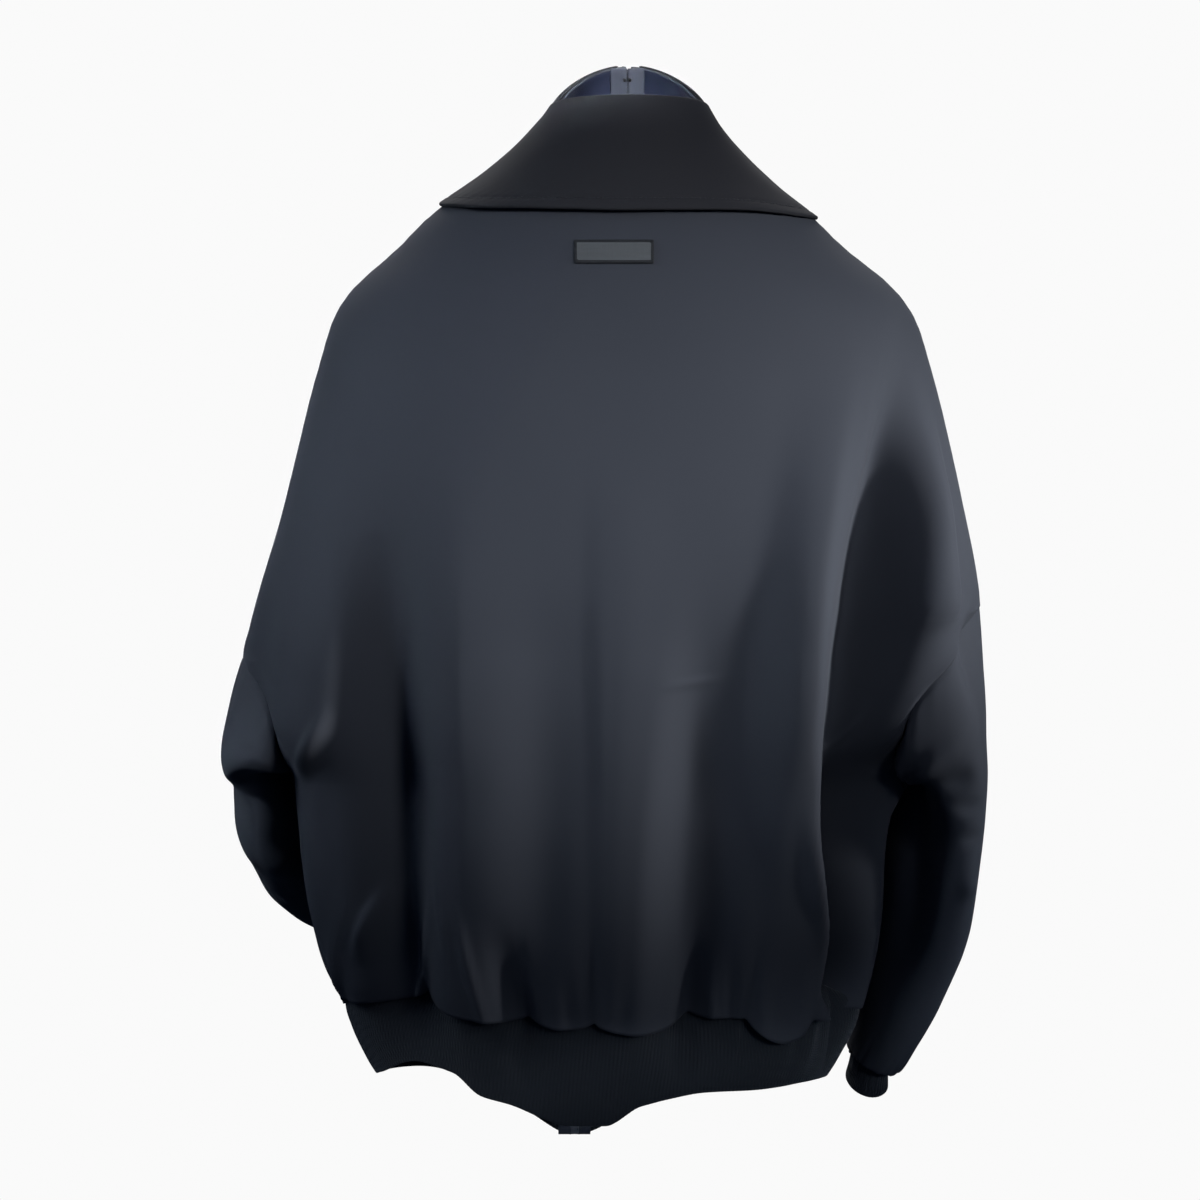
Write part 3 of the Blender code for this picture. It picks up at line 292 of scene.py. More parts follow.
HEM = lines_of(
    HemPoint,
    (0.00, -661, -739), (0.12, -662, -739), (0.20, -659, -733), (0.30, -654, -724),
    (0.40, -650, -719), (0.50, -648, -703), (0.62, -647, -698), (0.85, -658, -716),
    (1.00, -667, -725), (1.45, -690, -741), (1.80, -725, -782), (2.00, -744, -806),
    (2.20, -726, -782), (2.55, -694, -744), (3.00, -668, -726), (3.28, -664, -718),
    (3.47, -668, -717), (3.67, -657, -715), (3.88, -660, -724),
)
GATHERS = lines_of(
    Gather,
    (0.12, 0.100, 9, 8), (0.375, 0.165, 13, 11), (0.70, 0.160, 11, 10), (0.96, 0.110, 9, 7),
    (1.17, 0.130, 11, 9), (1.40, 0.130, 9, 8), (1.62, 0.120, 10, 8), (1.82, 0.100, 6, 5),
    (2.18, 0.100, 6, 5), (2.39, 0.130, 10, 8), (2.63, 0.130, 9, 9), (2.86, 0.120, 11, 8),
    (3.07, 0.110, 9, 7), (3.28, 0.100, 10, 8), (3.475, 0.115, 17, 12), (3.67, 0.090, 8, 8),
    (3.893, 0.140, 14, 10),
)
FOLDS = lines_of(
    Fold,
    (R, B, 200, -115, 152, -440, 184, -650, 52, 17, 0.45, 22),
    (R, B, 266, -90, 184, -440, 200, -650, 30, -44, 0.45, 54),
    (R, B, 242, -130, 258, -330, 270, -480, 42, 18, 0.45, 30),
    (R, B, 226, -440, 212, -520, 206, -630, 40, -68, 0.40, 56),
    (R, B, 90, -280, 68, -480, 64, -690, 42, -20, 0.70, 74),
    (R, B, 6, -170, 8, -420, 12, -690, 30, 4, 0.50, 55),
    (L, B, 40, -260, 44, -470, 52, -690, 30, -3, 0.65, 44),
    (L, B, 88, -250, 86, -470, 98, -690, 38, 0.5, 0.70),
    (L, B, 114, -180, 108, -450, 106, -660, 62, 4, 0.60, 24),
    (L, B, 166, -225, 164, -450, 158, -680, 43, -41, 0.50, 50),
    (L, B, 226, -330, 238, -450, 246, -620, 40, 9, 0.45),
    (L, B, 268, -300, 284, -390, 296, -470, 30, -4, 0.50),
    (L, B, 84, -570, 74, -620, 62, -690, 20, -11, 0.70),
    (R, B, 69, -590, 66, -640, 64, -690, 18, -8, 0.70),
    (R, B, 166, -590, 168, -640, 172, -690, 18, -9, 0.70),
    (L, F, 74, -270, 88, -500, 92, -730, 36, -10, 0.70),
    (L, F, 128, -200, 140, -450, 146, -710, 38, 8, 0.65),
    (L, F, 190, -230, 200, -460, 196, -700, 38, -13, 0.65),
    (L, F, 270, -420, 262, -540, 210, -690, 44, -9, 0.55),
    (R, F, 82, -290, 90, -500, 88, -730, 38, -9, 0.70),
    (R, F, 136, -190, 142, -440, 138, -710, 38, 8, 0.60),
    (R, F, 196, -220, 192, -450, 186, -700, 34, -13, 0.65),
)
# Finer creases, which the solids leave out
CREASES = lines_of(
    Fold,
    (R, B, 150, -470, 164, -570, 194, -650, 14, 9.5, 0.50, 9),
    (R, B, 96, -600, 100, -640, 96, -690, 8, -3.0, 0.60),
    (R, B, 82, -615, 84, -650, 86, -690, 6, 3.0, 0.60),
    (R, B, 118, -610, 122, -650, 120, -690, 9, 2.6, 0.60),
    (R, B, 20, -600, 14, -650, 10, -690, 12, -2.0, 0.60),
    (L, B, 122, -555, 104, -610, 84, -690, 8, 4.5, 0.50),
    (L, B, 134, -550, 150, -610, 166, -690, 9, 8.0, 0.50),
    (L, B, 204, -555, 222, -610, 240, -690, 10, 5.5, 0.50),
    (L, B, 30, -610, 26, -650, 22, -690, 10, -2.0, 0.60),
    (L, F, 40, -640, 46, -690, 52, -760, 10, -2.6, 0.60),
    (L, F, 120, -600, 116, -660, 112, -730, 10, 3.0, 0.60),
    (L, F, 168, -590, 170, -640, 176, -700, 10, -2.8, 0.60),
    (R, F, 44, -640, 50, -690, 56, -760, 10, -2.6, 0.60),
    (R, F, 112, -600, 110, -660, 104, -730, 10, 3.0, 0.60),
    (R, F, 160, -590, 164, -640, 168, -700, 10, -2.8, 0.60),
)
WRINKLES = lines_of(
    Wrinkle,
    (L, B, 258, -448, 44, 14, -58, 10), (L, B, 212, -589, 44, 14, -62, 13),
    (L, B, 130, -578, 48, 11, 80, 4), (R, B, 206, -478, 18, 5, 10, 3),
    (R, B, 203, -489, 16, 5, -4, -3), (R, B, 60, -398, 34, 6, 8, 1.2),
    (R, B, 236, -440, 34, 9, 52, 4),
)
SLEEVE_RINGS = {
    L: lines_of(
        Ring,
        (0.00, 267, 12, -436, 47, 76, 68, 0, 0), (0.10, 274.6, 12, -457, 34.5, 80, 50, 2, 0),
        (0.20, 277, 9, -478, 28, 78, 21, 6, 0), (0.26, 274, 2, -490, 24, 66, 10, 14, -4),
        (0.40, 272, -24, -520, 27, 50, 0, 34, -8), (0.58, 252, -80, -562, 35, 46, 0, 50, -26),
        (0.76, 220, -128, -600, 36, 45, 0, 52, -34), (0.90, 189, -160, -627, 36, 44, 0, 50, -38),
        (0.96, 178, -172, -641, 34, 42, 0, 50, -38), (1.00, 182, -168, -637, 29, 36, 0, 50, -38),
    ),
    R: lines_of(
        Ring,
        (0.00, 254, 12, -416, 71, 88, 64, 0, 0), (0.10, 256, 12, -440, 54, 88, 54, 0, 0),
        (0.18, 257, 10, -468, 40, 84, 35, 2, 0), (0.23, 255, 9, -489, 34, 72, 18, 4, -10),
        (0.36, 250, 8, -530, 30, 60, 6, 9, -24), (0.56, 243, -4, -598, 29, 54, -4, 14, -26),
        (0.74, 231, -24, -654, 28, 49, -12, 16, -22), (0.90, 218, -43, -702, 24, 44, -16, 14, -12),
        (0.97, 211, -54, -723, 22, 41, -14, 12, -6), (1.00, 209, -55, -717, 18, 35, -12, 12, -6),
    ),
}
SLEEVE_FOLDS = {
    L: lines_of(
        SleeveFold,
        (0.50, 60, 0.12, 70, -6), (0.66, 120, 0.10, 60, -5), (0.80, 60, 0.10, 60, -5),
    ),
    R: lines_of(
        SleeveFold,
        (0.48, 148, 0.30, 34, -9), (0.50, 78, 0.34, 40, 5), (0.60, 305, 0.30, 40, -6),
    ),
}
SLEEVE_CREASES = {
    L: lines_of(
        SleeveFold,
        (0.105, 95, 0.05, 90, 5, -0.11, 0.03), (0.160, 105, 0.022, 115, -30, -0.11, 0.26),
        (0.46, 120, 0.09, 40, 8, 0.06), (0.58, 100, 0.04, 60, -2.2),
    ),
    R: lines_of(
        SleeveFold,
        (0.060, 168, 0.058, 80, 15, 0.0, 0.11), (0.152, 110, 0.04, 70, 5, 0.0, 0.018),
        (0.190, 160, 0.020, 52, -22, 0.0, 0.34), (0.190, 110, 0.020, 50, -7, 0.0, 0.06),
        (0.205, 84, 0.016, 26, -6), (0.255, 84, 0.018, 26, -6), (0.330, 84, 0.022, 26, -5),
        (0.440, 86, 0.035, 20, 5),
    ),
}
CUFF_CUTS = {
    L: CuffCut(50, 0.5, 27, 33, 50, -38, 0),
    R: CuffCut(29, 2.5, 17, 34, 10, -2, -6),
}
FALL_EDGE = lines_of(
    FallPoint,
    (0.0, -50), (0.5, -49), (1.0, -44), (1.35, -47), (1.62, -54), (2.38, -54), (2.65, -54),
    (3.0, -55), (3.5, -51),
)


# ---------------------------------------------------------------- curves and small helpers


def column(table: Sequence[object], name: str) -> Array:
    """One named value of every line of a table.

    Args:
        table: lines of one dataclass.
        name: the field to read.

    Returns:
        The values as an array.
    """
    return np.array([getattr(line, name) for line in table], float)


def smooth_curve(known_at: Array, known: Array, at: Array) -> Array:
    """A curve through known values that never overshoots them (a monotone cubic).

    Args:
        known_at: where the values are known, in any order.
        known: the values.
        at: where the curve is wanted.

    Returns:
        The curve's values, in the shape of at.
    """
    order = np.argsort(known_at)
    x, y = np.asarray(known_at, float)[order], np.asarray(known, float)[order]
    step = np.diff(x)
    rise = np.diff(y) / step
    slope = np.zeros(len(x))
    slope[0], slope[-1] = rise[0], rise[-1]
    same_way = rise[:-1] * rise[1:] > 0
    mean = 2 * rise[:-1] * rise[1:] / np.where(same_way, rise[:-1] + rise[1:], 1)
    slope[1:-1] = np.where(same_way, mean, 0)
    at = np.asarray(at, float)
    i = np.clip(np.searchsorted(x, at) - 1, 0, len(x) - 2)
    t = np.clip((at - x[i]) / step[i], 0, 1)
    before = y[i] + (at - x[i]) * slope[0] * (at < x[0])
    return (
        (2 * t**3 - 3 * t**2 + 1) * before
        + (t**3 - 2 * t**2 + t) * step[i] * slope[i]
        + (3 * t**2 - 2 * t**3) * y[i + 1]
        + (t**3 - t**2) * step[i] * slope[i + 1]
    )


def round_curve(turns: Array, values: Array, turn: Array) -> Array:
    """A smooth curve through values given by turn, which joins itself after four turns."""
    around = np.concatenate([turns - 4, turns, turns + 4])
    return smooth_curve(around, np.tile(values, 3), np.mod(turn, 4))


def ease(value: Array) -> Array:
    """0 below 0 and 1 above 1, with a smooth start and end."""
    value = np.clip(value, 0, 1)
    return value * value * (3 - 2 * value)


def bell(value: Array) -> Array:
    """1 at 0, falling smoothly to 0 at -1 and 1."""
    return (1 + np.cos(math.pi * np.clip(value, -1, 1))) / 2


def unit(vectors: Array) -> Array:
    """The vectors at length 1."""
    return vectors / np.maximum(np.linalg.norm(vectors, axis=-1, keepdims=True), 1e-9)


def groove(away: Array, width: float) -> Array:
    """1 on a line, falling smoothly with the distance away from it."""
    return np.exp(-((away / width) ** 2))


def lengths(points: Array, axis: int) -> Array:
    """Length along each line of a grid of points, from its first point.

    Args:
        points: the grid.
        axis: 0 down its columns, 1 along its rows.

    Returns:
        The lengths, in the grid's shape.
    """
    step = np.linalg.norm(np.diff(points, axis=axis), axis=-1)
    start = np.zeros_like(np.take(step, [0], axis))
    return np.concatenate([start, np.cumsum(step, axis)], axis)


def on_line(at: Array, along: Array, line: Array) -> Array:
    """A line of points or directions, looked up by how far along it each one is."""
    return np.stack([np.interp(at, along, line[:, k]) for k in range(3)], -1)


def lifted(height: Array) -> Array:
    """Moves straight up by those heights."""
    return np.stack([0 * height, 0 * height, height], -1)


def dense_ends(count: int, near: Sequence[float] = (0.004, 0.009, 0.016)) -> Array:
    """Shares from 0 to 1, with extra ones close to both ends.

    Args:
        count: how many even ones there are.
        near: the extra ones at one end, and the first even one.

    Returns:
        The shares.
    """
    inner = np.linspace(near[-1], 1 - near[-1], count)
    ends = np.array((0.0, *near[:-1]))
    return np.concatenate([ends, inner, 1 - ends[::-1]])


def calm_rows(points: Array, reach: float, hold: Array, along: Array) -> Array:
    """Smooths a grid along its columns.

    Args:
        points: a grid of points, rows first.
        reach: how far the smoothing reaches, in millimetres.
        hold: 1 where a point stays as it is and 0 where it is smoothed.
        along: how far along the cloth each row lies, in millimetres.

    Returns:
        The smoothed grid.
    """
    apart = along[None, :] - along[:, None]
    weight = np.exp(-(apart**2) / (2 * reach**2)) * np.abs(np.gradient(along))[None, :]
    sums = [(weight * apart**power).sum(1, keepdims=True) for power in range(3)]
    weight = weight * (sums[2] - sums[1] * apart) / (sums[0] * sums[2] - sums[1] ** 2)
    calm = np.einsum("ij,jkc->ikc", weight, points)
    return points * hold[..., None] + calm * (1 - hold[..., None])


# ---------------------------------------------------------------- the body's form


def oval_normal(side: Array, face: Array, x: Array, y: Array, reach: Array, depth: Array,
                boxiness: Array) -> Array:
    """Directions outwards, level, from places x and y on a quarter of a boxy oval."""
    out_x, out_y = (x / reach) ** (boxiness - 1) / reach, (y / depth) ** (boxiness - 1) / depth
    return unit(np.stack([side * out_x, face * out_y, 0 * out_x], -1))


@dataclass(frozen=True)
class BodyForm:
    """The outer surface of the jacket's body.

    In its methods side is LEFT or RIGHT, face is BACK or FRONT, share runs from the middle of the
    face to its outer edge, row from NECK to SEAM, and turn is counted round the body from the
    middle of the back: 1 is the wearer's left, 2 the front and 3 the right.
    """

    neck_side: float = 1
    neck_back: float = 0
    neck_front: float = -38
    arm_tops: Pair = (-392, -352)
    underarm: float = -480
    neck_power: float = 1.2
    gather_rise: float = 95
    gather_level: float = 6
    bulge_share: float = 0.7
    bulge_level: float = 5
    blouse_tuck: float = 7
    blouse_lift: float = 12
    plain_tuck: float = 3.0
    plain_lift: float = 2.0
    zip_plain_turn: float = 0.08
    zip_bloused_turn: float = 0.30
    zip_calm: Pair = (18, 60)
    crowd_from: float = 0.35
    arc_steps: int = 48
    fold_run_on: float = 40
    fold_slack: float = 0.35
    tuck_bulge: float = 0.5
    tuck_lean: float = 78
    tuck_lean_rows: Pair = (0.25, 0.75)
    edge_most: float = 0.98
    zip_probe: tuple[float, int] = (0.08, 9)

    def turn_of(self, side: Array, face: Array, share: Array) -> Array:
        """The turn at which places lie.

        Args:
            side: their sides.
            face: their faces.
            share: their shares.

        Returns:
            The turns, from 0 to 4.
        """
        back = share * side
        front = 2 - share * side
        return np.mod(np.where(face == B, back, np.where(side == L, front, 2 + share)), 4)

    def section(self, side: Array, face: Array, height: Array) -> tuple[Array, ...]:
        """The outline at a height.

        Args:
            side: the side.
            face: the face.
            height: the height.

        Returns:
            Its half width, depth, middle, side line and boxiness.
        """

        def look(name: str) -> Array:
            """That value of the outline at those heights."""
            return smooth_curve(column(SECTIONS, "height"), column(SECTIONS, name), height)

        middle = np.where(face == B, look("back_middle"), look("front_middle"))
        reach = np.where(side == L, look("left") - middle, look("right") + middle)
        line = look("side")
        depth = np.where(face == B, look("back") - line, look("front") + line)
        return reach, depth, middle, line, look("boxiness")

    def arm_top_height(self, side: Array, share: Array) -> Array:
        """Height of the row through the tops of the armholes."""
        left, right = self.arm_tops
        return (left + right) / 2 + (left - right) / 2 * side * np.sin(share * QUARTER)

    def gather_shape(self, turn: Array) -> tuple[Array, Array]:
        """Gathers over the hem band: round lobes with cusps between them.

        Args:
            turn: the turn.

        Returns:
            How far the cloth hangs, and how far it bulges.
        """
        hang, bulge = np.zeros(np.shape(turn)), np.zeros(np.shape(turn))
        for gather in GATHERS:
            away = np.abs(np.mod(turn - gather.turn + 2, 4) - 2) / gather.half_width
            lobe = np.sqrt(np.clip(1 - away**2, 0, 1))
            hang = np.maximum(hang, gather.hang * lobe)
            bulge = np.maximum(bulge, gather.bulge * lobe)
        return hang, bulge

    def blouse_share(self, turn: Array) -> Array:
        """1 where the shell blouses over the band, falling to 0 beside the zip."""
        away = np.abs(np.mod(turn, 4) - 2)
        return ease((away - self.zip_plain_turn) / (self.zip_bloused_turn - self.zip_plain_turn))

    def hem_height(self, name: str, turn: Array) -> Array:
        """Height of the blouse's lower edge or of the band's."""
        return round_curve(column(HEM, "turn"), column(HEM, name), turn)

    def height_of(self, side: Array, face: Array, share: Array, row: Array) -> Array:
        """Height of a place on the body, before the tuck under the blouse.

        Args:
            side: its side.
            face: its face.
            share: its share.
            row: its row.

        Returns:
            The height.
        """
        middle = np.where(face == B, self.neck_back, self.neck_front)
        neck = self.neck_side + (middle - self.neck_side) * np.cos(share * QUARTER) ** 2
        top = self.arm_top_height(side, share)
        turn = self.turn_of(side, face, share)
        hang, _ = self.gather_shape(turn)
        rise = (self.gather_level - hang) * self.blouse_share(turn)
        lowest = self.hem_height("blouse", turn) + rise
        upper = neck + (top - neck) * np.clip(row, 0, 1) ** self.neck_power
        angle = np.clip(row - Row.ARM, 0, 1) * math.pi
        armhole = (top + self.underarm) / 2 + (top - self.underarm) / 2 * np.cos(angle)
        lower = self.underarm + (lowest - self.underarm) * np.clip(row - Row.UNDERARM, 0, 1)
        return np.where(row <= Row.ARM, upper, np.where(row <= Row.UNDERARM, armhole, lower))

    def armhole_edge(self, side: Array, face: Array, row: Array) -> tuple[Array, Array]:
        """Where the armhole's edge lies.

        Args:
            side: the side.
            face: the face.
            row: the row.

        Returns:
            How far out it is, and how far from the side line.
        """
        angle = np.clip(row - Row.ARM, 0, 1) * math.pi
        depth, bow = np.zeros(np.shape(angle)), np.zeros(np.shape(angle))
        for quarter in ARMHOLES:
            here = (side == quarter.side) & (face == quarter.face)
            depth = np.where(here, quarter.depth, depth)
            bow = np.where(here, quarter.bow, bow)
        heights, left, right = (column(SECTIONS, name) for name in ("height", "left", "right"))

        def reach(height: Array) -> Array:
            """How far the body reaches outwards at that height."""
            return np.where(side == L, smooth_curve(heights, left, height),
                            smooth_curve(heights, right, height))

        top = reach(np.where(side == L, self.arm_tops[0], self.arm_tops[1]))
        low = reach(np.full(np.shape(angle), float(self.underarm)))
        inward = (1 - np.cos(angle)) / 2 + bow * np.sin(angle) ** 2
        return top + (low - top) * inward, depth * np.sin(angle)

    def quarter_arc(
        self, reach: Array, depth: Array, boxiness: Array, share: Array,
        end: Array | float = QUARTER, whole: Array | None = None,
    ) -> tuple[Array, Array, Array]:
        """Places along a quarter of a boxy oval.

        Args:
            reach: its half width.
            depth: its depth.
            boxiness: its power.
            share: share of the way along it.
            end: the angle at which it stops.
            whole: its length, where it stops before a quarter.

        Returns:
            x, y and the length so far.
        """
        reach, depth, boxiness, share, end = np.broadcast_arrays(
            reach, depth, boxiness, share, end)
        angles = end[..., None] * np.linspace(0, 1, self.arc_steps + 1)
        power = 2 / boxiness[..., None]
        x = reach[..., None] * np.sin(angles) ** power
        y = depth[..., None] * np.clip(np.cos(angles), 0, 1) ** power
        step = np.hypot(np.diff(x), np.diff(y))
        along = np.concatenate([np.zeros(step.shape[:-1] + (1,)), np.cumsum(step, -1)], -1)
        stop = along[..., -1]
        whole = stop if whole is None else whole
        crowd = (np.clip((share - self.crowd_from) / (1 - self.crowd_from), 0, 1)) ** 2
        want = share * whole - (whole - stop) * crowd
        i = np.clip((along < want[..., None]).sum(-1) - 1, 0, self.arc_steps - 1)[..., None]
        before = np.take_along_axis(along, i, -1)
        here = (want[..., None] - before) / np.maximum(np.take_along_axis(step, i, -1), 1e-9)
        angle = (np.take_along_axis(angles, i, -1) + here * end[..., None] / self.arc_steps)[..., 0]
        x = reach * np.sin(angle) ** power[..., 0]
        y = depth * np.clip(np.cos(angle), 0, 1) ** power[..., 0]
        return x, y, want

    def fold_depth(
        self, folds: Iterable[Fold], side: Array, from_back: Array, from_front: Array, height: Array
    ) -> Array:
        """How far folds move the cloth out.

        Args:
            folds: the folds.
            side: the side.
            from_back: distance along the cloth from the middle of the back.
            from_front: the same from the middle of the front.
            height: the height.

        Returns:
            The move outwards.
        """
        total = np.zeros(np.shape(height))
        for fold in folds:
            distance = from_back if fold.face == B else from_front
            length = fold.high - fold.low
            along = np.clip((fold.high - height) / length, 0, 1)
            share_mid = (fold.high - fold.mid) / length
            drift = fold.low_at - fold.high_at
            bend = fold.mid_at - fold.high_at - drift * share_mid
            path = fold.high_at + drift * along
            path = path + bend * along * (1 - along) / (share_mid * (1 - share_mid))
            away = np.where(side == fold.side, distance, -distance) - path
            width = np.where(away > 0, fold.outer or fold.half_width, fold.half_width)
            past = ease((along - fold.deepest) / (1 - fold.deepest))
            strength = ease(along / fold.deepest) * (1 - self.fold_slack * past)
            fade = ease(1 + (height - fold.low) / self.fold_run_on)
            total = total + fold.depth * strength * fade * bell(away / width)
        return total

    def wrinkle_depth(self, side: Side, face: Face, distance: Array, height: Array) -> Array:
        """How far the short wrinkles move the cloth out.

        Args:
            side: the side.
            face: the face.
            distance: distance along the cloth from the face's middle.
            height: the height.

        Returns:
            The move outwards.
        """
        total = np.zeros(np.shape(height))
        for wrinkle in WRINKLES:
            if (wrinkle.side, wrinkle.face) == (side, face):
                lean = math.radians(wrinkle.lean)
                cos, sin = math.cos(lean), math.sin(lean)
                across, up = distance - wrinkle.distance, height - wrinkle.height
                long = bell((across * cos + up * sin) / wrinkle.half_long)
                wide = bell((up * cos - across * sin) / wrinkle.half_wide)
                total = total + wrinkle.depth * long * wide
        return total

    def surface(
        self, side: Array, face: Array, share: Array, row: Array, creases: bool = True
    ) -> tuple[Array, Array]:
        """Outer surface of the body.

        Args:
            side: the sides.
            face: the faces.
            share: the shares.
            row: the rows.
            creases: whether the finer creases are in it.

        Returns:
            The points, and the directions outwards from the cloth.
        """
        places = [np.asarray(value, float) for value in (side, face, share, row)]
        side, face, share, row = np.broadcast_arrays(*places)
        height = self.height_of(side, face, share, row)
        turn = self.turn_of(side, face, share)
        reach, depth, middle, line, boxiness = self.section(side, face, height)
        edge_out, edge_deep = self.armhole_edge(side, face, row)
        at_armhole = (row > Row.ARM) & (row < Row.UNDERARM)
        edge_share = np.clip(edge_deep / depth, 0, self.edge_most)
        wanted = (edge_out - side * middle) / (1 - edge_share**boxiness) ** (1 / boxiness)
        end = np.where(at_armhole, np.arccos(edge_share ** (boxiness / 2)), QUARTER)
        other = self.section(side, -face, height)
        far_length = self.quarter_arc(other[0], other[1], other[4], 1.0)[2]
        own_length = self.quarter_arc(reach, depth, boxiness, 1.0)[2]
        reach = np.where(at_armhole, wanted, reach)
        x, y, along = self.quarter_arc(reach, depth, boxiness, share, end, own_length)
        around = own_length + far_length - along
        from_back = np.where(face == B, along, around)
        from_front = np.where(face == F, along, around)
        outward = oval_normal(side, face, x, y, reach, depth, boxiness)
        calm = ease((from_front - self.zip_calm[0]) / (self.zip_calm[1] - self.zip_calm[0]))
        folds = FOLDS + CREASES if creases else FOLDS
        moved = self.fold_depth(folds, side, from_back, from_front, height) * calm
        _, bulge = self.gather_shape(turn)
        blouse = self.blouse_share(turn)
        low = self.height_of(side, face, share, np.full(row.shape, float(Row.FOLD)))
        near_hem = ease(1 - (height - low) / self.gather_rise) * (row > Row.UNDERARM)
        moved = moved + (bulge * self.bulge_share - self.bulge_level) * blouse * near_hem
        points = np.stack([middle + side * x, line + face * y, height], -1)
        points = points + outward * moved[..., None]
        return self.tucked_under(points, outward, row - Row.FOLD, bulge, blouse)

    def tucked_under(self, points: Array, outward: Array, past: Array, bulge: Array,
                     blouse: Array) -> tuple[Array, Array]:
        """Turns the blouse's lowest rows inwards and up to their seam on the hem band.

        Args:
            points: the points.
            outward: directions outwards.
            past: how many rows past the fold each lies.
            bulge: how far the gathers bulge there.
            blouse: 1 where the cloth blouses, 0 where it lies plain.

        Returns:
            The points, and the directions outwards from the cloth.
        """
        tucked = np.clip(past, 0, 1) * QUARTER
        deep = self.plain_tuck + (
            self.blouse_tuck + bulge * self.tuck_bulge - self.plain_tuck) * blouse
        high = self.plain_lift + (self.blouse_lift - self.plain_lift) * blouse
        lift = high * (1 - np.cos(tucked))
        points = points - outward * (deep * np.sin(tucked))[..., None] + lifted(lift)
        before, over = self.tuck_lean_rows
        lean = (ease((past + before) / over) * math.radians(self.tuck_lean))[..., None]
        return points, outward * np.cos(lean) + np.array([0.0, 0.0, -1.0]) * np.sin(lean)

    def zip_edge_share(self, side: Side, row: Array, edge: float) -> Array:
        """Where a front's edge lies beside the zip.

        Args:
            side: which front.
            row: the rows.
            edge: how far from the middle it lies.

        Returns:
            Its share in each row.
        """
        probe = np.linspace(0, *self.zip_probe)
        points, _ = self.surface(side, F, probe[None, :], row[:, None], False)
        middle, _ = self.surface(side, F, 0.0, row, False)
        away = np.abs(points[..., 0] - middle[:, None, 0])
        return np.array([np.interp(edge, line, probe) for line in away])


BODY = BodyForm()


# ---------------------------------------------------------------- meshes


def directions(points: Array, closed: bool, like: Array | None = None) -> Array:
    """Directions outwards from a grid of points.

    Args:
        points: a grid, rows first.
        closed: whether the columns go all round.
        like: directions that the result agrees with; without them it points off the middle.

    Returns:
        Unit directions in the grid's shape.
    """
    along = np.gradient(points, axis=0)
    if closed:
        across = np.roll(points, -1, 1) - np.roll(points, 1, 1)
    else:
        across = np.gradient(points, axis=1)
    outward = np.cross(across, along)
    if like is None:
        like = points - points.mean((0, 1))
        outward = outward * np.sign((like * outward).sum())
    else:
        outward = outward * np.sign((like * outward).sum(-1, keepdims=True))
    return unit(outward)


@dataclass
class Cloth:
    """A piece of cloth: a wall behind a grid of outer points, with rounded edges."""

    name: str
    outer: Array
    outward: Array
    thickness: float
    closed: bool = False
    edge_steps: int = 3

    def border(self) -> list[tuple[Array, Array]]:
        """The free edges.

        Returns:
            For each, its loop of grid indices and the directions beyond the edge.
        """
        rows, cols = self.outer.shape[:2]
        grid = np.arange(rows * cols).reshape(rows, cols)
        flat = self.outer.reshape(-1, 3)
        if self.closed:
            pairs = [(grid[0][::-1], grid[1][::-1]), (grid[-1], grid[-2])]
        else:
            loop = np.concatenate([grid[0, :0:-1], grid[:-1, 0], grid[-1, :-1], grid[:0:-1, -1]])
            pairs = [(loop, np.pad(grid[1:-1, 1:-1], 1, mode="edge").ravel()[loop])]
        return [(edge, flat[edge] - flat[near]) for edge, near in pairs]

    def build(self, finish: Material, lining: Material | None = None) -> Object:
        """Makes the mesh.

        Args:
            finish: the material of the outer side and the edges.
            lining: the material of the inner side, if it differs.

        Returns:
            The new object.
        """
        rows, cols = self.outer.shape[:2]
        ring = np.concatenate([self.outer, self.outer[:, :1]], 1) if self.closed else self.outer
        u, v = lengths(ring, 1), lengths(ring, 0)
        if not self.closed:
            u = u - u[:, cols // 2][:, None]
        r, c = np.meshgrid(np.arange(rows - 1), np.arange(u.shape[1] - 1), indexing="ij")
        corners = [(r, c), (r, c + 1), (r + 1, c + 1), (r + 1, c)]
        quads = np.stack([a * cols + b % cols for a, b in corners], -1).reshape(-1, 4)
        flat = np.stack([np.stack([u[at], v[at]], -1) for at in corners], -2).reshape(-1, 4, 2)
        start = 2 * rows * cols
        faces, coords = [quads, quads[:, ::-1] + start // 2], [flat, flat[:, ::-1]]
        outer, outward = self.outer.reshape(-1, 3), self.outward.reshape(-1, 3)
        points = [outer, outer - outward * self.thickness]
        middle, half = (points[0] + points[1]) / 2, self.thickness / 2
        flat = np.stack([u[:, :cols], v[:, :cols]], -1).reshape(-1, 2)
        for edge, beyond in self.border():
            out, layers = outward[edge], [edge]
            away = unit(beyond - (beyond * out).sum(-1, keepdims=True) * out)
            for k in range(1, self.edge_steps + 1):
                angle = math.pi * k / (self.edge_steps + 1)
                turned = out * math.cos(angle) + away * math.sin(angle)
                points.append(middle[edge] + half * turned)
                layers.append(start + np.arange(len(edge)))
                start += len(edge)
            layers.append(edge + rows * cols)
            for near, far in zip(layers[:-1], layers[1:]):
                faces.append(np.stack([near, np.roll(near, -1), np.roll(far, -1), far], -1))
                one, two = flat[edge], flat[np.roll(edge, -1)]
                coords.append(np.stack([one, two, two, one], 1))
        whole, faces, uv = np.concatenate(points), np.concatenate(faces), np.concatenate(coords)
        corner = [whole[faces[:, k]] for k in range(4)]
        volume = sum((corner[0] * np.cross(corner[a], corner[a + 1])).sum() for a in (1, 2))
        if volume < 0:
            faces, uv = faces[:, ::-1], uv[:, ::-1]
        inside = np.arange(len(faces)) // len(quads) == 1
        return make_object(self.name, whole, faces, [finish, lining or finish], uv, inside)


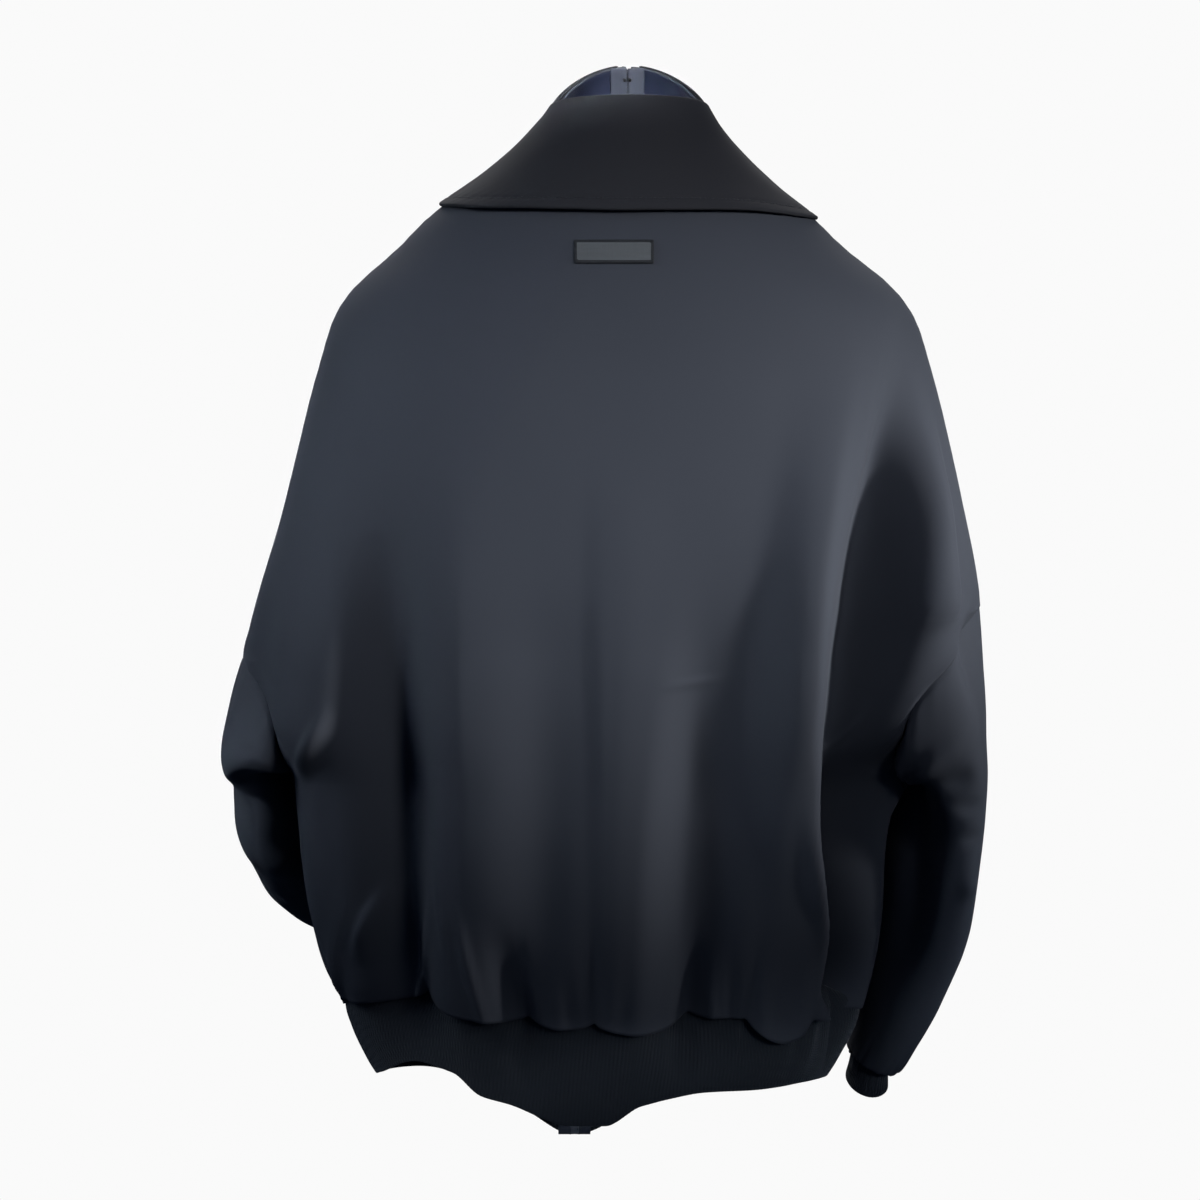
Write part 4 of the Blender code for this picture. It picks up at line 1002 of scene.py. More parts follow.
def make_object(
    name: str,
    points: Array,
    faces: Array | list[list[int]],
    materials: Sequence[Material],
    uv: Array | None = None,
    second: Array | None = None,
    smooth: bool = True,
) -> Object:
    """A mesh object in the scene.

    Args:
        name: its name.
        points: its points, in millimetres.
        faces: its faces, as indices of points.
        materials: its material slots.
        uv: a place on the flat cloth for each corner, in millimetres.
        second: true for faces in the second material slot.
        smooth: whether it is shaded smooth.

    Returns:
        The new object.
    """
    mesh = bpy.data.meshes.new(name)
    mesh.from_pydata((np.asarray(points) * MM).tolist(), [], np.asarray(faces).tolist()
                     if isinstance(faces, np.ndarray) else faces)
    for made in materials:
        mesh.materials.append(made)
    if uv is not None:
        layer = mesh.uv_layers.new(name="cloth")
        layer.data.foreach_set("uv", (np.ascontiguousarray(uv) * MM).astype(np.float32).ravel())
    if second is not None:
        mesh.polygons.foreach_set("material_index", second.astype(np.int32))
    mesh.polygons.foreach_set("use_smooth", np.full(len(mesh.polygons), smooth))
    mesh.update()
    obj = bpy.data.objects.new(name, mesh)
    bpy.context.scene.collection.objects.link(obj)
    return obj


def ring_faces(count: int, rings: int, closed: bool = False) -> list[list[int]]:
    """Faces that join rings of corners.

    Args:
        count: how many corners each ring has.
        rings: how many rings there are.
        closed: whether the last ring is joined to the first.

    Returns:
        The faces, as indices of corners.
    """
    starts = [ring * count for ring in range(rings)] + ([0] if closed else [])
    return [[a + k, a + (k + 1) % count, b + (k + 1) % count, b + k]
            for a, b in zip(starts[:-1], starts[1:]) for k in range(count)]


def stitch_line(
    name: str, path: Array, outward: Array, made: Material,
    length: float = 2.6, gap: float = 0.9, radius: float = 0.28, sides: int = 6,
) -> Object:
    """A line of sewn stitches, each a short rounded thread that dips into the cloth at its ends.

    Args:
        name: the piece's name.
        path: points of the line.
        outward: directions out of the cloth at those points.
        made: the thread's material.
        length: a stitch's length.
        gap: the gap between two stitches.
        radius: the thread's half thickness.
        sides: how many sides the thread has.

    Returns:
        The new object.
    """
    along = lengths(path[None], 1)[0]
    count = int(along[-1] // (length + gap))
    knots = np.array([0.0, 0.12, 0.35, 0.65, 0.88, 1.0])
    dip = np.array([-1.0, -0.1, 0.55, 0.55, -0.1, -1.0])
    thick = np.array([0.5, 0.9, 1.0, 1.0, 0.9, 0.5])
    starts = np.arange(count) * (length + gap) + gap / 2
    at = starts[:, None] + knots[None, :] * length
    centre, up = on_line(at, along, path), unit(on_line(at, along, outward))
    way = unit(np.gradient(centre, axis=1))
    side = unit(np.cross(way, up))
    centre = centre + up * (dip * radius)[None, :, None]
    angle = np.arange(sides) * 2 * math.pi / sides
    ring = (
        side[:, :, None] * np.cos(angle)[None, None, :, None]
        + up[:, :, None] * np.sin(angle)[None, None, :, None]
    ) * (radius * thick)[None, :, None, None]
    points = (centre[:, :, None] + ring).reshape(-1, 3)
    per = len(knots) * sides
    stitch = ring_faces(sides, len(knots))
    stitch += [list(range(sides))[::-1], list(range(per - sides, per))]
    faces = [[start + k for k in face] for start in range(0, count * per, per) for face in stitch]
    return make_object(name, points, faces, [made])


def cloudy(points: Array, size: float, seed: int) -> Array:
    """Soft unevenness, which depends on the place alone.

    Args:
        points: the places.
        size: about how wide a patch of it is.
        seed: the seed of its random draws.

    Returns:
        Values between -1 and 1.
    """
    rng = np.random.default_rng(seed)
    waves, shortest, longest = 7, 0.7, 1.6
    total = np.zeros(points.shape[:-1])
    for _ in range(waves):
        way = unit(rng.normal(size=3)) * 2 * math.pi / (size * rng.uniform(shortest, longest))
        total = total + np.sin(points @ way + rng.uniform(0, 2 * math.pi))
    return total / waves


def uneven(points: Array, waves: Waves) -> Array:
    """Waves of (depth, size, seed) in the cloth, added up."""
    return sum(depth * cloudy(points, size, seed) for depth, size, seed in waves)


def pucker(along: Array, away: Array, pitch: float, reach: float) -> Array:
    """The ripple of cloth beside a sewn seam, from -1 to 1."""
    drifts = [depth * np.sin(along / length) for depth, length in ((1.7, 41), (1.1, 17))]
    return np.sin(sum(drifts, along * 2 * math.pi / pitch)) * np.exp(-away / reach)


# ---------------------------------------------------------------- finishes


class Tree:
    """Short calls that make and join shader nodes."""

    def __init__(self, tree: bpy.types.NodeTree) -> None:
        """Works in that tree."""
        self.tree = tree

    def add(self, kind: str, inputs: dict | None = None, **settings: object) -> bpy.types.Node:
        """Adds a node.

        Args:
            kind: the node's type, without its ShaderNode start.
            inputs: values or sockets for its inputs, by name or number.
            settings: its own settings.

        Returns:
            The node.
        """
        node = self.tree.nodes.new(f"ShaderNode{kind}")
        for name, value in settings.items():
            setattr(node, name, value)
        for key, value in (inputs or {}).items():
            if isinstance(value, Socket):
                self.tree.links.new(value, node.inputs[key])
            else:
                node.inputs[key].default_value = value
        return node

    def math(self, operation: str, *values: object) -> Socket:
        """The result of a Math node."""
        return self.add("Math", dict(enumerate(values)), operation=operation).outputs[0]

    def times(self, one: object, other: object) -> Socket:
        """A value times another."""
        return self.math("MULTIPLY", one, other)

    def plus(self, one: object, other: object) -> Socket:
        """A value plus another."""
        return self.math("ADD", one, other)

    def hump(self, value: object) -> Socket:
        """A round hump over each whole step of a value."""
        return self.math("SINE", self.times(self.math("FRACT", value), math.pi))

    def spread(self, value: object, low: float, high: float) -> Socket:
        """A value between 0 and 1, spread from low to high."""
        inputs = {"Value": value, "To Min": low, "To Max": high}
        return self.add("MapRange", inputs).outputs["Result"]

    def noise(self, place: Socket, scale: object, detail: float, **others: float) -> Socket:
        """Smooth noise, with other inputs of its node by name."""
        inputs = {"Vector": place, "Scale": scale, "Detail": detail, **others}
        return self.add("TexNoise", inputs).outputs[0]

    def blend(self, share: object, one: Triple, other: Triple) -> Socket:
        """A mix of two colours."""
        inputs = {0: share, 6: (*one, 1), 7: (*other, 1)}
        return self.add("Mix", inputs, data_type="RGBA").outputs[2]

    def stretched(self, place: Socket, scale: Triple) -> Socket:
        """A place, scaled along each axis."""
        return self.add("Mapping", {"Vector": place, "Scale": scale}).outputs[0]

    def flat(self) -> Socket:
        """The place on the flat cloth."""
        return self.add("UVMap", uv_map="cloth").outputs[0]

    def across_down(self) -> tuple[Socket, Socket]:
        """How far across and down the flat cloth a place is."""
        parts = self.add("SeparateXYZ", {0: self.flat()}).outputs
        return parts[0], parts[1]

    def link(self, made: Socket, node: bpy.types.Node, name: str | int) -> None:
        """Joins a result to a node's input."""
        self.tree.links.new(made, node.inputs[name])


@dataclass(frozen=True)
class Effect:
    """A look that several materials share, kept as a node group with named inputs and outputs."""

    name: str
    inputs: dict[str, float]
    outputs: tuple[str, ...]
    fill: Callable[[Tree, Sockets], Sockets]

    def group(self) -> bpy.types.NodeTree:
        """The node group, built once.

        Returns:
            The group.
        """
        known = bpy.data.node_groups.get(self.name)
        if known:
            return known
        group = bpy.data.node_groups.new(self.name, "ShaderNodeTree")
        kind = "NodeSocketFloat"
        for name, value in self.inputs.items():
            socket = group.interface.new_socket(name, in_out="INPUT", socket_type=kind)
            socket.default_value = value
        for name in self.outputs:
            group.interface.new_socket(name, in_out="OUTPUT", socket_type=kind)
        start, end = group.nodes.new("NodeGroupInput"), group.nodes.new("NodeGroupOutput")
        made = self.fill(Tree(group), {name: start.outputs[name] for name in self.inputs})
        for name, socket in made.items():
            group.links.new(socket, end.inputs[name])
        return group

    def use(self, tree: Tree, **values: float) -> bpy.types.Node:
        """Places the group in a material.

        Args:
            tree: the material's tree.
            values: the material's own values for the group's inputs.

        Returns:
            The group's node.
        """
        node = tree.tree.nodes.new("ShaderNodeGroup")
        node.node_tree = self.group()
        for name, value in values.items():
            node.inputs[name.replace("_", " ").title()].default_value = value
        return node


def fill_weave(t: Tree, given: Sockets) -> Sockets:
    """Satin's long threads: each runs over several rows of the weave and dips under one.

    Args:
        t: the group's tree.
        given: the group's inputs.

    Returns:
        The group's outputs.
    """
    next_row, steepness, slub_scale = 0.4, 4.0, 60.0
    across, down = t.across_down()
    across = t.math("DIVIDE", across, given["Pitch"])
    thread = t.math("FLOOR", across)
    run = t.math("DIVIDE", down, t.times(given["Pitch"], given["Float"]))
    over = t.times(t.hump(t.plus(run, t.times(thread, next_row))), steepness)
    height = t.times(t.hump(across), t.math("MINIMUM", over, 1.0))
    place = t.add("CombineXYZ", {0: thread, 1: t.times(down, slub_scale)}).outputs[0]
    slub = t.noise(place, 1.0, 1.0)
    # Tone: random slubs along each thread, darkened where the thread dips under, which is painted
    # shade in the dips.
    return {"Height": height, "Tone": t.times(slub, t.spread(height, 0.7, 1.0))}


def fill_rib(t: Tree, given: Sockets) -> Sockets:
    """Rib knit: upright ribs made of slanting stitches.

    Args:
        t: the group's tree.
        given: the group's inputs.

    Returns:
        The group's outputs.
    """
    across, down = t.across_down()
    across = t.math("DIVIDE", across, given["Pitch"])
    halves = t.math("FRACT", t.times(across, 2.0))
    lean = t.math("ABSOLUTE", t.math("SUBTRACT", halves, 0.5))
    rib = t.hump(across)
    loop = t.hump(t.plus(t.math("DIVIDE", down, given["Stitch"]), lean))
    height = t.plus(t.times(rib, given["Rib"]), t.times(loop, given["Loop"]))
    # Tone: darker in the grooves between ribs and between loops, which is painted shade in the
    # grooves.
    return {"Height": height, "Tone": t.times(t.spread(rib, 0.45, 1.0), t.spread(loop, 0.75, 1.0))}


def fill_cloud(t: Tree, given: Sockets) -> Sockets:
    """Soft uneven patches.

    Args:
        t: the group's tree.
        given: the group's inputs.

    Returns:
        The group's outputs.
    """
    place = t.add("TexCoord").outputs["Object"]
    wide = t.noise(place, given["Scale"], 3.0, Roughness=0.55)
    tone = t.add("MapRange", {"Value": wide, "From Min": 0.3, "From Max": 0.7})
    return {"Tone": tone.outputs["Result"]}


def fill_crinkle(t: Tree, given: Sockets) -> Sockets:
    """Small soft wrinkles, longer down the cloth than across it.

    Args:
        t: the group's tree.
        given: the group's inputs.

    Returns:
        The group's outputs.
    """
    flat, finer = t.flat(), 5.0
    bend = t.noise(t.stretched(flat, (1.0, 0.35, 1.0)), given["Scale"], 2.0, Distortion=0.8)
    fine = t.noise(flat, t.times(given["Scale"], finer), 2.0)
    return {"Height": t.plus(bend, t.times(fine, given["Fine"]))}


# A height, and a tone that is darker in the weave's dips or the knit's grooves: painted shade.
BOTH = ("Height", "Tone")
WEAVE = Effect("thread_weave", {"Pitch": 0.0004, "Float": 5.0}, BOTH, fill_weave)
RIB = Effect("rib_knit", {"Pitch": 0.003, "Stitch": 0.002, "Rib": 0.7, "Loop": 0.3}, BOTH, fill_rib)
CLOUD = Effect("uneven_tone", {"Scale": 12.0}, ("Tone",), fill_cloud)
CRINKLE = Effect("small_wrinkles", {"Scale": 30.0, "Fine": 0.2}, ("Height",), fill_crinkle)


@dataclass(frozen=True)
class Finish:
    """A material's own values. Each kind of finish adds its looks in dress()."""

    name: str
    colour: Triple
    shade: Triple
    roughness: Pair
    sheen: float = 0.0
    sheen_roughness: float = 0.4
    sheen_tint: Triple = (1.0, 1.0, 1.0)
    specular: float = 0.5
    metallic: float = 0.0

    def material(self) -> Material:
        """The material, made once.

        Returns:
            The material.
        """
        known = bpy.data.materials.get(self.name)
        if known:
            return known
        made = bpy.data.materials.new(self.name)
        made.use_nodes = True
        made.diffuse_color = (*self.colour, 1)
        tree = Tree(made.node_tree)
        shader = made.node_tree.nodes["Principled BSDF"]
        for name, value in (
            ("Sheen Weight", self.sheen), ("Sheen Roughness", self.sheen_roughness),
            ("Sheen Tint", (*self.sheen_tint, 1)), ("Specular IOR Level", self.specular),
            ("Metallic", self.metallic),
        ):
            shader.inputs[name].default_value = value
        tone, rough, bumps = self.dress(tree)
        tree.link(tree.blend(tone, self.shade, self.colour), shader, "Base Color")
        tree.link(tree.spread(rough, *self.roughness), shader, "Roughness")
        below: Sockets = {}
        for height, distance in bumps:
            inputs = {"Height": height, "Distance": distance, "Strength": 1.0, **below}
            below = {"Normal": tree.add("Bump", inputs).outputs[0]}
        for name, normal in below.items():
            tree.link(normal, shader, name)
        return made

    def dress(self, tree: Tree) -> Look:
        """Tone from shade to colour, share of the roughness, and bumps with their depths."""
        cloud = CLOUD.use(tree).outputs[0]
        return cloud, cloud, []


@dataclass(frozen=True)
class WovenFinish(Finish):
    """Woven cloth: threads, small wrinkles and soft uneven patches."""

    pitch: float = 0.0004
    floats: float = 5.0
    thread: float = 0.00003
    wrinkle: float = 0.0006
    wrinkle_scale: float = 22.0
    fine: float = 0.12
    cloud_scale: float = 9.0
    cloud_tone: float = 0.6
    weave_tone: float = 0.6

    def dress(self, tree: Tree) -> Look:
        """Threads over small wrinkles.

        Args:
            tree: the material's tree.

        Returns:
            The look.
        """
        weave = WEAVE.use(tree, pitch=self.pitch, float=self.floats).outputs
        cloud = CLOUD.use(tree, scale=self.cloud_scale).outputs[0]
        crinkle = CRINKLE.use(tree, scale=self.wrinkle_scale, fine=self.fine).outputs[0]
        # The weave's tone holds painted shade where threads dip, beside its random slubs.
        tone = tree.plus(tree.times(cloud, self.cloud_tone),
                         tree.times(weave["Tone"], self.weave_tone))
        return tone, cloud, [(crinkle, self.wrinkle), (weave["Height"], self.thread)]


@dataclass(frozen=True)
class KnitFinish(Finish):
    """Rib knit with a soft, slightly fuzzy face."""

    pitch: float = 0.003
    stitch: float = 0.002
    rib: float = 0.7
    loop: float = 0.3
    depth: float = 0.0003
    cloud_scale: float = 16.0
    fuzz_scale: float = 900.0
    fuzz_depth: float = 0.00006
    knit_tone: float = 0.65
    uneven_tone: float = 0.2

    def dress(self, tree: Tree) -> Look:
        """Ribs of stitches with uneven fuzz.

        Args:
            tree: the material's tree.

        Returns:
            The look.
        """
        knit = RIB.use(
            tree, pitch=self.pitch, stitch=self.stitch, rib=self.rib, loop=self.loop).outputs
        cloud = CLOUD.use(tree, scale=self.cloud_scale).outputs[0]
        fuzz = CLOUD.use(tree, scale=self.fuzz_scale).outputs[0]
        # The rib's tone is painted shade in its grooves.
        tone = tree.plus(tree.times(knit["Tone"], self.knit_tone),
                         tree.times(tree.plus(cloud, fuzz), self.uneven_tone))
        return tone, fuzz, [(knit["Height"], self.depth), (fuzz, self.fuzz_depth)]


@dataclass(frozen=True)
class HardFinish(Finish):
    """Metal or moulded plastic, with fine scratches and uneven polish."""

    scratch: float = 0.00002
    scratch_scale: float = 1400.0
    scratch_stretch: Triple = (1.0, 1.0, 0.08)
    polish_scale: float = 90.0

    def dress(self, tree: Tree) -> Look:
        """Uneven polish with fine scratches.

        Args:
            tree: the material's tree.

        Returns:
            The look.
        """
        cloud = CLOUD.use(tree, scale=self.polish_scale).outputs[0]
        place = tree.stretched(tree.add("TexCoord").outputs["Object"], self.scratch_stretch)
        scratches = tree.noise(place, self.scratch_scale, 1.0)
        rough = tree.plus(tree.times(cloud, 0.5), tree.times(scratches, 0.5))
        return cloud, rough, [(scratches, self.scratch)]


SATIN = WovenFinish(
    "satin", (0.014, 0.019, 0.052), (0.009, 0.013, 0.042), (0.46, 0.56),
    sheen=0.34, sheen_roughness=0.35, sheen_tint=(0.80, 0.88, 1.0), specular=0.65)
NECK_SATIN = WovenFinish(
    "neck_satin", (0.020, 0.025, 0.052), (0.012, 0.015, 0.034), (0.34, 0.44),
    sheen=0.2, sheen_roughness=0.35, sheen_tint=(0.75, 0.82, 1.0), wrinkle=0.0004)
LINING = WovenFinish(
    "lining", (0.012, 0.013, 0.018), (0.009, 0.010, 0.014), (0.45, 0.60),
    pitch=0.0003, floats=2.0, wrinkle=0.0010, wrinkle_scale=30.0)
KNIT = KnitFinish(
    "knit", (0.0044, 0.0068, 0.0185), (0.0020, 0.0032, 0.0092), (0.85, 0.95),
    sheen=0.16, sheen_roughness=0.5, sheen_tint=(0.34, 0.62, 1.0), specular=0.20)
# The band's and cuffs' knit: its colour is raised well above the collar's to stand in for light
# that falls off towards the hem, so its lightness is painted light.
PAINTED_LIGHT_KNIT = KnitFinish(
    "band_knit", (0.0250, 0.0290, 0.0360), (0.0120, 0.0140, 0.0180), (0.88, 0.96),
    sheen=0.18, sheen_roughness=0.5, sheen_tint=(0.9, 0.95, 1.0), specular=0.2)
# The tapes' colour is lighter than the satin partly as painted highlight: it stands in for the
# sheen on them seen inside the neck, which the neck_glint lamp also lights.
TAPE = WovenFinish(
    "zip_tape", (0.050, 0.055, 0.075), (0.036, 0.040, 0.056), (0.34, 0.44),
    pitch=0.0006, floats=2.0, thread=0.00008, wrinkle=0.0001)
TEETH = HardFinish(
    "zip_teeth", (0.020, 0.021, 0.024), (0.014, 0.015, 0.018), (0.25, 0.38))
METAL = HardFinish(
    "dark_metal", (0.30, 0.30, 0.31), (0.20, 0.20, 0.21), (0.22, 0.36), metallic=1.0)
PATCH = WovenFinish(
    "patch_weave", (0.105, 0.112, 0.118), (0.080, 0.086, 0.092), (0.75, 0.88),
    pitch=0.0007, floats=2.0, thread=0.00012, wrinkle=0.00005, specular=0.3)
PATCH_EDGE = WovenFinish(
    "patch_border", (0.022, 0.024, 0.027), (0.014, 0.015, 0.018), (0.75, 0.88),
    pitch=0.0006, floats=2.0, thread=0.0001, wrinkle=0.00005, specular=0.3)
THREAD = HardFinish(
    "thread", (0.016, 0.018, 0.024), (0.010, 0.011, 0.016), (0.5, 0.65), scratch=0.00001)


# ---------------------------------------------------------------- pieces


@dataclass(frozen=True)
class Cut:
    """What a piece of cloth was cut from: a width, a length and its area, in metres."""

    width: float
    length: float
    area: float | None = None


@dataclass
class Piece:
    """A finished piece, ready to be placed on its body."""

    obj: Object
    slot: Slot
    replaces: tuple[str, ...] = ()
    body: str = "jacket"
    cut: Cut | None = None
    held: str = "hung"
    rests_on: tuple[str, ...] = ()
    extras: tuple[Object, ...] = ()

    def place(self) -> None:
        """Attaches the piece to its body, hides the solids that it replaces, and logs its size."""
        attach(self.obj, self.body)
        if self.replaces:
            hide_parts(*self.replaces)
        LOG.info("%s: %d faces", self.obj.name, len(self.obj.data.polygons))


@dataclass(frozen=True)
class Seam:
    """A sewn seam or stitched line: a rounded dip with puckered cloth beside it.

    clear is how soon the puckers start beside a seam; a stitched line has them right away.
    """

    dip: float = 0.9
    width: float = 2.4
    pucker: float = 0.35
    pitch: float = 17
    reach: float = 9
    clear: float = 2

    def sewn(self, moved: Array, along: Array, away: Array) -> Array:
        """Adds the seam to a move of the cloth.

        Args:
            moved: how far each point moves outwards so far.
            along: how far along the seam each point lies.
            away: how far from the seam it lies, with either sign.

        Returns:
            The move with the seam in it.
        """
        ripple = self.pucker * pucker(along, np.abs(away), self.pitch, self.reach)
        if self.clear:
            ripple = ripple * (1 - np.exp(-away / self.clear))
        return moved - self.dip * groove(away, self.width) + ripple


@dataclass
class Shell:
    """The satin back and fronts, in one with the upper parts of the dropped sleeves.

    The hold_ sizes say where the smoothing of the grid leaves it alone: in rows and shares, from
    where on and over how much it comes in.
    """

    thickness: float = 1.1
    edge_inset: float = 0.45
    upper_rows: int = 84
    armhole_steps: int = 60
    lower_rows: int = 62
    lower_crowding: float = 0.9
    tuck_rows: int = 7
    back_columns: int = 88
    front_columns: int = 84
    zip_gap: float = 3.6
    calm: float = 9.0
    hold_arm: float = 0.82
    hold_below_arm: float = 0.72
    hold_over: float = 0.12
    hold_side: Pair = (0.80, 0.17)
    hold_neck: float = 0.08
    hold_hem: Pair = (0.80, 0.15)
    waves: Waves = ((0.45, 74, 3), (0.16, 27, 5))
    seam: Seam = Seam()
    stitched: Seam = Seam(0.35, 1.1, 0.22, 15, 8, 0)
    stitch_in: float = 6.0
    stitch_up: float = 0.05
    zip_edge_dip: float = 0.5
    zip_edge_width: float = 0.8
    plain_rows: int = 3
    cuts: dict[str, Cut] = field(default_factory=dict)

    def rows(self) -> Array:
        """Rows of the panels' grids, from the neckline to the seam on the band.

        Returns:
            The rows, from NECK to SEAM.
        """
        lower = np.linspace(0, 1, self.lower_rows + 1) ** self.lower_crowding
        return np.concatenate([
            np.linspace(Row.NECK, Row.ARM, self.upper_rows, endpoint=False),
            np.linspace(Row.ARM, Row.UNDERARM, self.armhole_steps, endpoint=False),
            Row.UNDERARM + lower,
            np.linspace(Row.FOLD, Row.SEAM, self.tuck_rows + 1)[1:],
        ])

    def hold(self, rows: Array, share: Array) -> Array:
        """Where the grid keeps its shape while the rest is smoothed.

        Args:
            rows: the grid's rows.
            share: shares of the way to the outer edge, over the grid.

        Returns:
            1 where a point stays as it is and 0 where it is smoothed.
        """
        side, side_over = self.hold_side
        hem, hem_over = self.hold_hem
        arm = ease((rows - self.hold_arm) / self.hold_over) * ease(
            (Row.FOLD - self.hold_below_arm - rows) / self.hold_over)
        hold = ease((share - side) / side_over) * arm[:, None]
        ends = np.maximum(1 - ease(rows / self.hold_neck),
                          ease((rows - Row.UNDERARM - hem) / hem_over))
        return np.maximum(hold, ends[:, None])

    def half(self, side: Side, face: Face, share: Array) -> tuple[Array, Array]:
        """Half a face, with the form's small steps smoothed away.

        Args:
            side: which half.
            face: which face.
            share: share of the way to the outer edge, for each column.

        Returns:
            The grid's points, and its directions outwards.
        """
        rows = self.rows()
        points, outward = BODY.surface(side, face, share, rows[:, None])
        share = np.broadcast_to(share, points.shape[:2])
        hold = self.hold(rows, share)
        points = calm_rows(points, self.calm, hold, -BODY.height_of(L, B, 0.0, rows))
        distance = lengths(points, 1)
        if share[0, 0] > share[0, -1]:
            distance = distance[:, -1:] - distance
        moved = BODY.wrinkle_depth(side, face, distance, points[..., 2]) * (1 - hold)
        return points + outward * moved[..., None], outward

    def dressed(self, points: Array, outward: Array, zip_edge: int | None) -> tuple[Array, Array]:
        """Adds the dips and puckers of the seams and the cloth's own unevenness.

        Args:
            points: the panel's grid.
            outward: directions outwards.
            zip_edge: the column of the edge beside the zip, if it has one.

        Returns:
            The grid and its new directions.
        """
        outward = directions(points, False, outward)
        along_row, down = lengths(points, 1), lengths(points, 0)
        moved = uneven(points, self.waves)
        for edge, away in ((0, along_row), (-1, along_row[:, -1:] - along_row)):
            if zip_edge == edge:
                moved = moved - self.zip_edge_dip * groove(away, self.zip_edge_width)
                moved = self.stitched.sewn(moved, down, away - self.stitch_in)
            else:
                moved = self.seam.sewn(moved, down, away)
        near_end = np.minimum(np.arange(len(points)), self.plain_rows)[:, None] / self.plain_rows
        points = points + outward * (moved * near_end)[..., None]
        return points, directions(points, False, outward)

    def panel(self, name: str, node: str, points: Array, outward: Array) -> Piece:
        """A panel, with its edges drawn in a little where it meets its neighbours.

        Args:
            name: the piece's name.
            node: the solid that it stands for, which also names its cut.
            points: the panel's grid, whose edges are moved.
            outward: directions outwards.

        Returns:
            The piece.
        """
        for axis in (0, 1):
            lines = np.moveaxis(points, axis, 0)
            for edge, inner in ((0, 1), (-1, -2)):
                lines[edge] = lines[edge] + unit(lines[inner] - lines[edge]) * self.edge_inset
        wall = Cloth(name, points, outward, self.thickness)
        cut = self.cuts.get(node.split("_")[0])
        return Piece(wall.build(SATIN.material(), LINING.material()), Slot.SATIN, (node,), cut=cut)

    def front(self, side: Side) -> list[Piece]:
        """Makes a front.

        Args:
            side: which front.

        Returns:
            The panel, and the stitched line beside the zip.
        """
        start = BODY.zip_edge_share(side, self.rows(), self.zip_gap)[:, None]
        across = start + (1 - start) * dense_ends(self.front_columns)[None, :]
        points, outward = self.dressed(*self.half(side, F, across), 0)
        panel = self.panel(f"front_panel_{side.word}", f"front_{side.word}", points, outward)
        beside = np.searchsorted(lengths(points, 1)[len(points) // 2], self.stitch_in)
        inside = slice(self.plain_rows + 1, -self.tuck_rows - 2)
        path, out = points[inside, beside], outward[inside, beside]
        line = stitch_line(f"front_stitches_{side.word}", path + out * self.stitch_up, out,
                           THREAD.material())
        panel.extras = (line,)
        return [panel, Piece(line, Slot.SATIN)]

    def build(self) -> list[Piece]:
        """Makes the back and the two fronts.

        Returns:
            The panels and stitched lines.
        """
        share = dense_ends(self.back_columns)
        halves = self.half(L, B, share[None, ::-1]), self.half(R, B, share[None, 1:])
        points, outward = (np.concatenate(parts, 1) for parts in zip(*halves))
        back = self.panel("back_panel", "back", *self.dressed(points, outward, None))
        return [back, *self.front(L), *self.front(R)]


def ring_axes(tilt: Array, pitch: Array, yaw: Array) -> tuple[Array, Array]:
    """Directions across a ring of a sleeve, counted outwards from the body.

    Args:
        tilt: how far its outer side is raised, in degrees.
        pitch: how far the sleeve is drawn forwards, in degrees.
        yaw: how far the ring is turned inwards, in degrees.

    Returns:
        Unit vectors to the ring's outer side and to its back.
    """
    tilt, pitch, yaw = (np.radians(v) for v in (tilt, pitch, yaw))
    across = np.stack(
        [np.cos(tilt), np.sin(pitch) * np.sin(tilt), np.cos(pitch) * np.sin(tilt)], -1)
    deep = np.stack([0 * tilt, np.cos(pitch), -np.sin(pitch)], -1)
    cos, sin = np.cos(yaw), np.sin(yaw)

    def turned(v: Array) -> Array:
        """The vectors turned by the yaw."""
        x, y = v[..., 0] * cos - v[..., 1] * sin, v[..., 0] * sin + v[..., 1] * cos
        return np.stack([x, y, v[..., 2]], -1)

    return turned(across), turned(deep)


